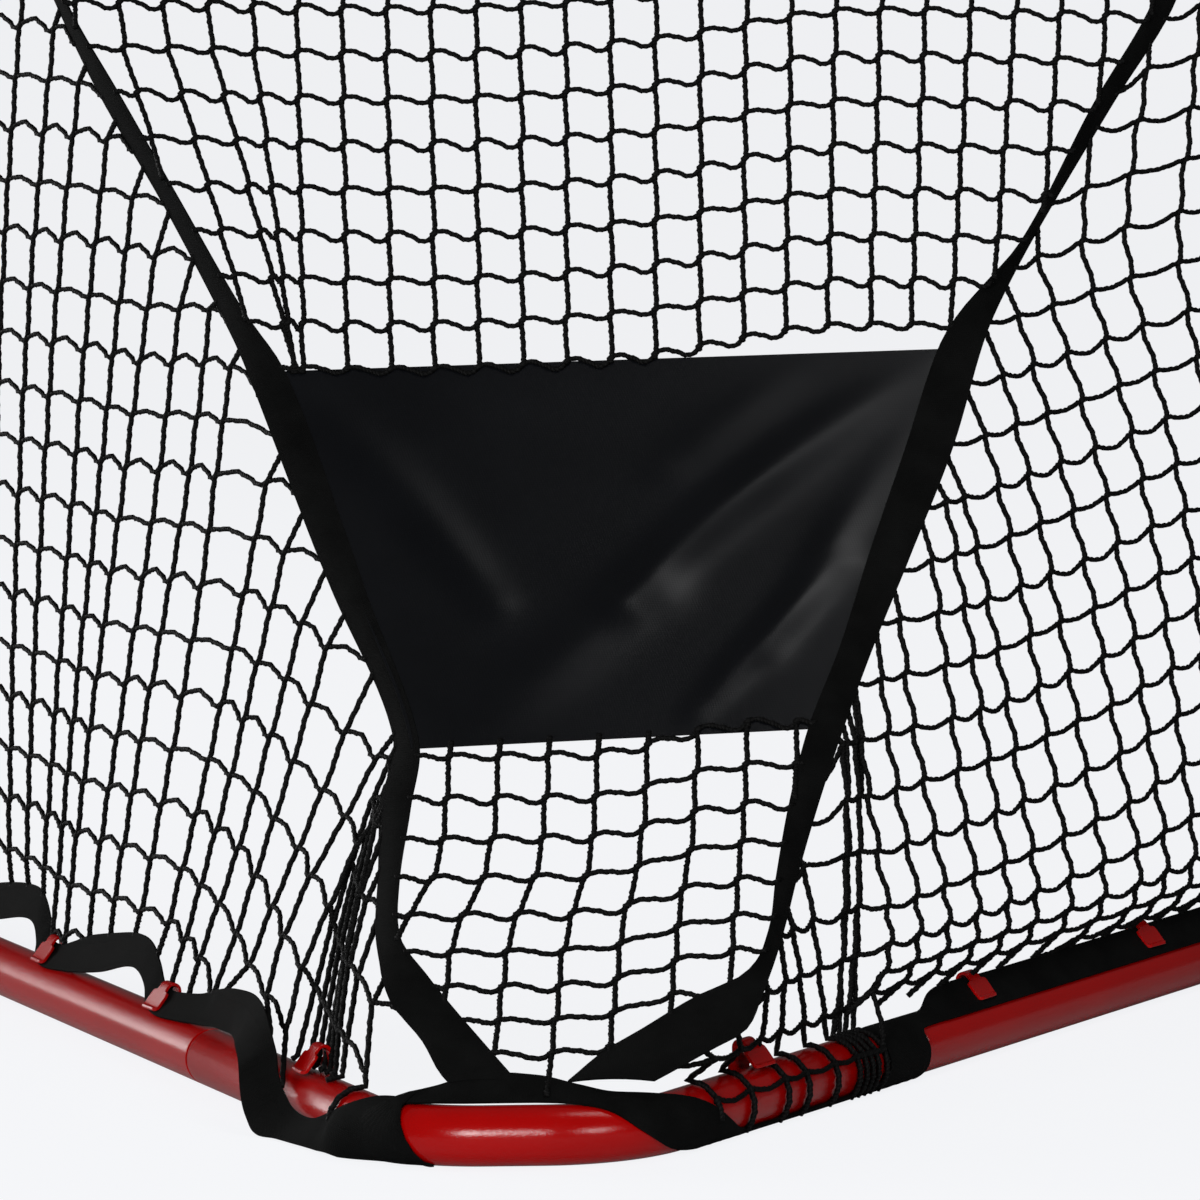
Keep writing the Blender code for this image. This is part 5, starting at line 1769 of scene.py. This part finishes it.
def build_camera():
    """Camera of the photograph, found from the goal's own lines in it."""
    scene = bpy.context.scene
    camera = bpy.data.objects.new("photo_camera", bpy.data.cameras.new("photo_camera"))
    scene.collection.objects.link(camera)
    camera.data.lens = CAMERA_LENS
    camera.data.sensor_width = CAMERA_SENSOR
    camera.data.clip_end = 200
    level = math.cos(CAMERA_PITCH)
    forward = Vector((math.sin(CAMERA_YAW) * level, math.cos(CAMERA_YAW) * level, -math.sin(CAMERA_PITCH)))
    right = Vector((math.cos(CAMERA_YAW), -math.sin(CAMERA_YAW), 0))
    up = right.cross(forward)
    rolled = right * math.cos(CAMERA_ROLL) + up * math.sin(CAMERA_ROLL)
    top = -right * math.sin(CAMERA_ROLL) + up * math.cos(CAMERA_ROLL)
    turn = Matrix((rolled, top, -forward)).transposed().to_4x4()
    camera.matrix_world = Matrix.Translation(CAMERA_PLACE) @ turn
    scene.camera = camera
    scene.view_settings.view_transform = "Standard"


def build_stage():
    scene = bpy.context.scene
    studio = scene.goal_studio
    pale = (*scene.goal_colours.backdrop, 1)
    build_floor(pale)
    build_backdrop(pale, studio.sky)
    middle = (0, -0.3, 0.3)
    softbox("left_key", (-0.85, -4.0, 1.25), middle, (1.1, 0.9), studio.key)
    softbox("right_fill", (2.1, -3.7, 1.30), middle, (1.3, 0.9), studio.fill)
    softbox("overhead", (0.95, -0.45, 2.9), (0, -0.25, 0.3), (0.5, 1.3), studio.top)
    softbox("far_left", (-3.6, 1.6, 1.2), (-0.4, 0.2, 0.1), (2.6, 2.0), studio.edge)
    build_camera()


# Operators and panel

class GOAL_OT_stage(bpy.types.Operator):
    """Adds the floor, the lamps and the camera"""
    bl_idname = "goal.stage"
    bl_label = "Stage and camera"

    def execute(self, context):
        build_stage()
        return {"FINISHED"}


class GOAL_OT_tubes(bpy.types.Operator):
    """Adds the six powder-coated tubes"""
    bl_idname = "goal.tubes"
    bl_label = "Tubes"

    def execute(self, context):
        build_tubes()
        return {"FINISHED"}


class GOAL_OT_buttons(bpy.types.Operator):
    """Gives the buttons and their springs a metal finish"""
    bl_idname = "goal.buttons"
    bl_label = "Spring buttons"

    def execute(self, context):
        build_buttons()
        return {"FINISHED"}


class GOAL_OT_clips(bpy.types.Operator):
    """Adds the bent clips and their welds"""
    bl_idname = "goal.clips"
    bl_label = "Clips"

    def execute(self, context):
        build_clips()
        return {"FINISHED"}


class GOAL_OT_border_tapes(bpy.types.Operator):
    """Adds the webbing along the tubes"""
    bl_idname = "goal.border_tapes"
    bl_label = "Border tapes"

    def execute(self, context):
        build_border_tapes()
        return {"FINISHED"}


class GOAL_OT_seam_tapes(bpy.types.Operator):
    """Adds the two webbing seams"""
    bl_idname = "goal.seam_tapes"
    bl_label = "Seam tapes"

    def execute(self, context):
        build_seam_tapes()
        return {"FINISHED"}


class GOAL_OT_panel(bpy.types.Operator):
    """Adds the plain vinyl panel"""
    bl_idname = "goal.panel"
    bl_label = "Panel"

    def execute(self, context):
        build_panel()
        return {"FINISHED"}


class GOAL_OT_back_nets(bpy.types.Operator):
    """Adds the net above and below the panel"""
    bl_idname = "goal.back_nets"
    bl_label = "Back nets"

    def execute(self, context):
        build_back_nets()
        return {"FINISHED"}


class GOAL_OT_left_net(bpy.types.Operator):
    """Adds the left side net"""
    bl_idname = "goal.left_net"
    bl_label = "Left side net"

    def execute(self, context):
        build_side_net(LEFT)
        return {"FINISHED"}


class GOAL_OT_right_net(bpy.types.Operator):
    """Adds the right side net"""
    bl_idname = "goal.right_net"
    bl_label = "Right side net"

    def execute(self, context):
        build_side_net(RIGHT)
        return {"FINISHED"}


STEPS_IN_ORDER = (
    GOAL_OT_stage, GOAL_OT_tubes, GOAL_OT_buttons, GOAL_OT_clips, GOAL_OT_border_tapes,
    GOAL_OT_seam_tapes, GOAL_OT_panel, GOAL_OT_back_nets, GOAL_OT_left_net, GOAL_OT_right_net,
)


class GOAL_PT_pieces(bpy.types.Panel):
    """Sidebar panel that lists the goal's pieces and settings"""
    bl_label = "Lacrosse Goal"
    bl_idname = "GOAL_PT_pieces"
    bl_space_type = "VIEW_3D"
    bl_region_type = "UI"
    bl_category = "Goal"

    def draw(self, context):
        for group in ("goal_sizes", "goal_colours", "goal_studio"):
            settings = getattr(context.scene, group)
            for key in settings.__annotations__:
                self.layout.prop(settings, key)
        for step in STEPS_IN_ORDER:
            self.layout.operator(step.bl_idname)


CLASSES = (GoalSizes, GoalColours, GoalStudio, *STEPS_IN_ORDER, GOAL_PT_pieces)


def register():
    for item in CLASSES:
        bpy.utils.register_class(item)
    bpy.types.Scene.goal_sizes = bpy.props.PointerProperty(type=GoalSizes)
    bpy.types.Scene.goal_colours = bpy.props.PointerProperty(type=GoalColours)
    bpy.types.Scene.goal_studio = bpy.props.PointerProperty(type=GoalStudio)


def unregister():
    del bpy.types.Scene.goal_sizes
    del bpy.types.Scene.goal_colours
    del bpy.types.Scene.goal_studio
    for item in reversed(CLASSES):
        bpy.utils.unregister_class(item)


def main():
    register()
    for step in STEPS_IN_ORDER:
        getattr(bpy.ops.goal, step.bl_idname.split(".")[1])()


if __name__ == "__main__":
    main()
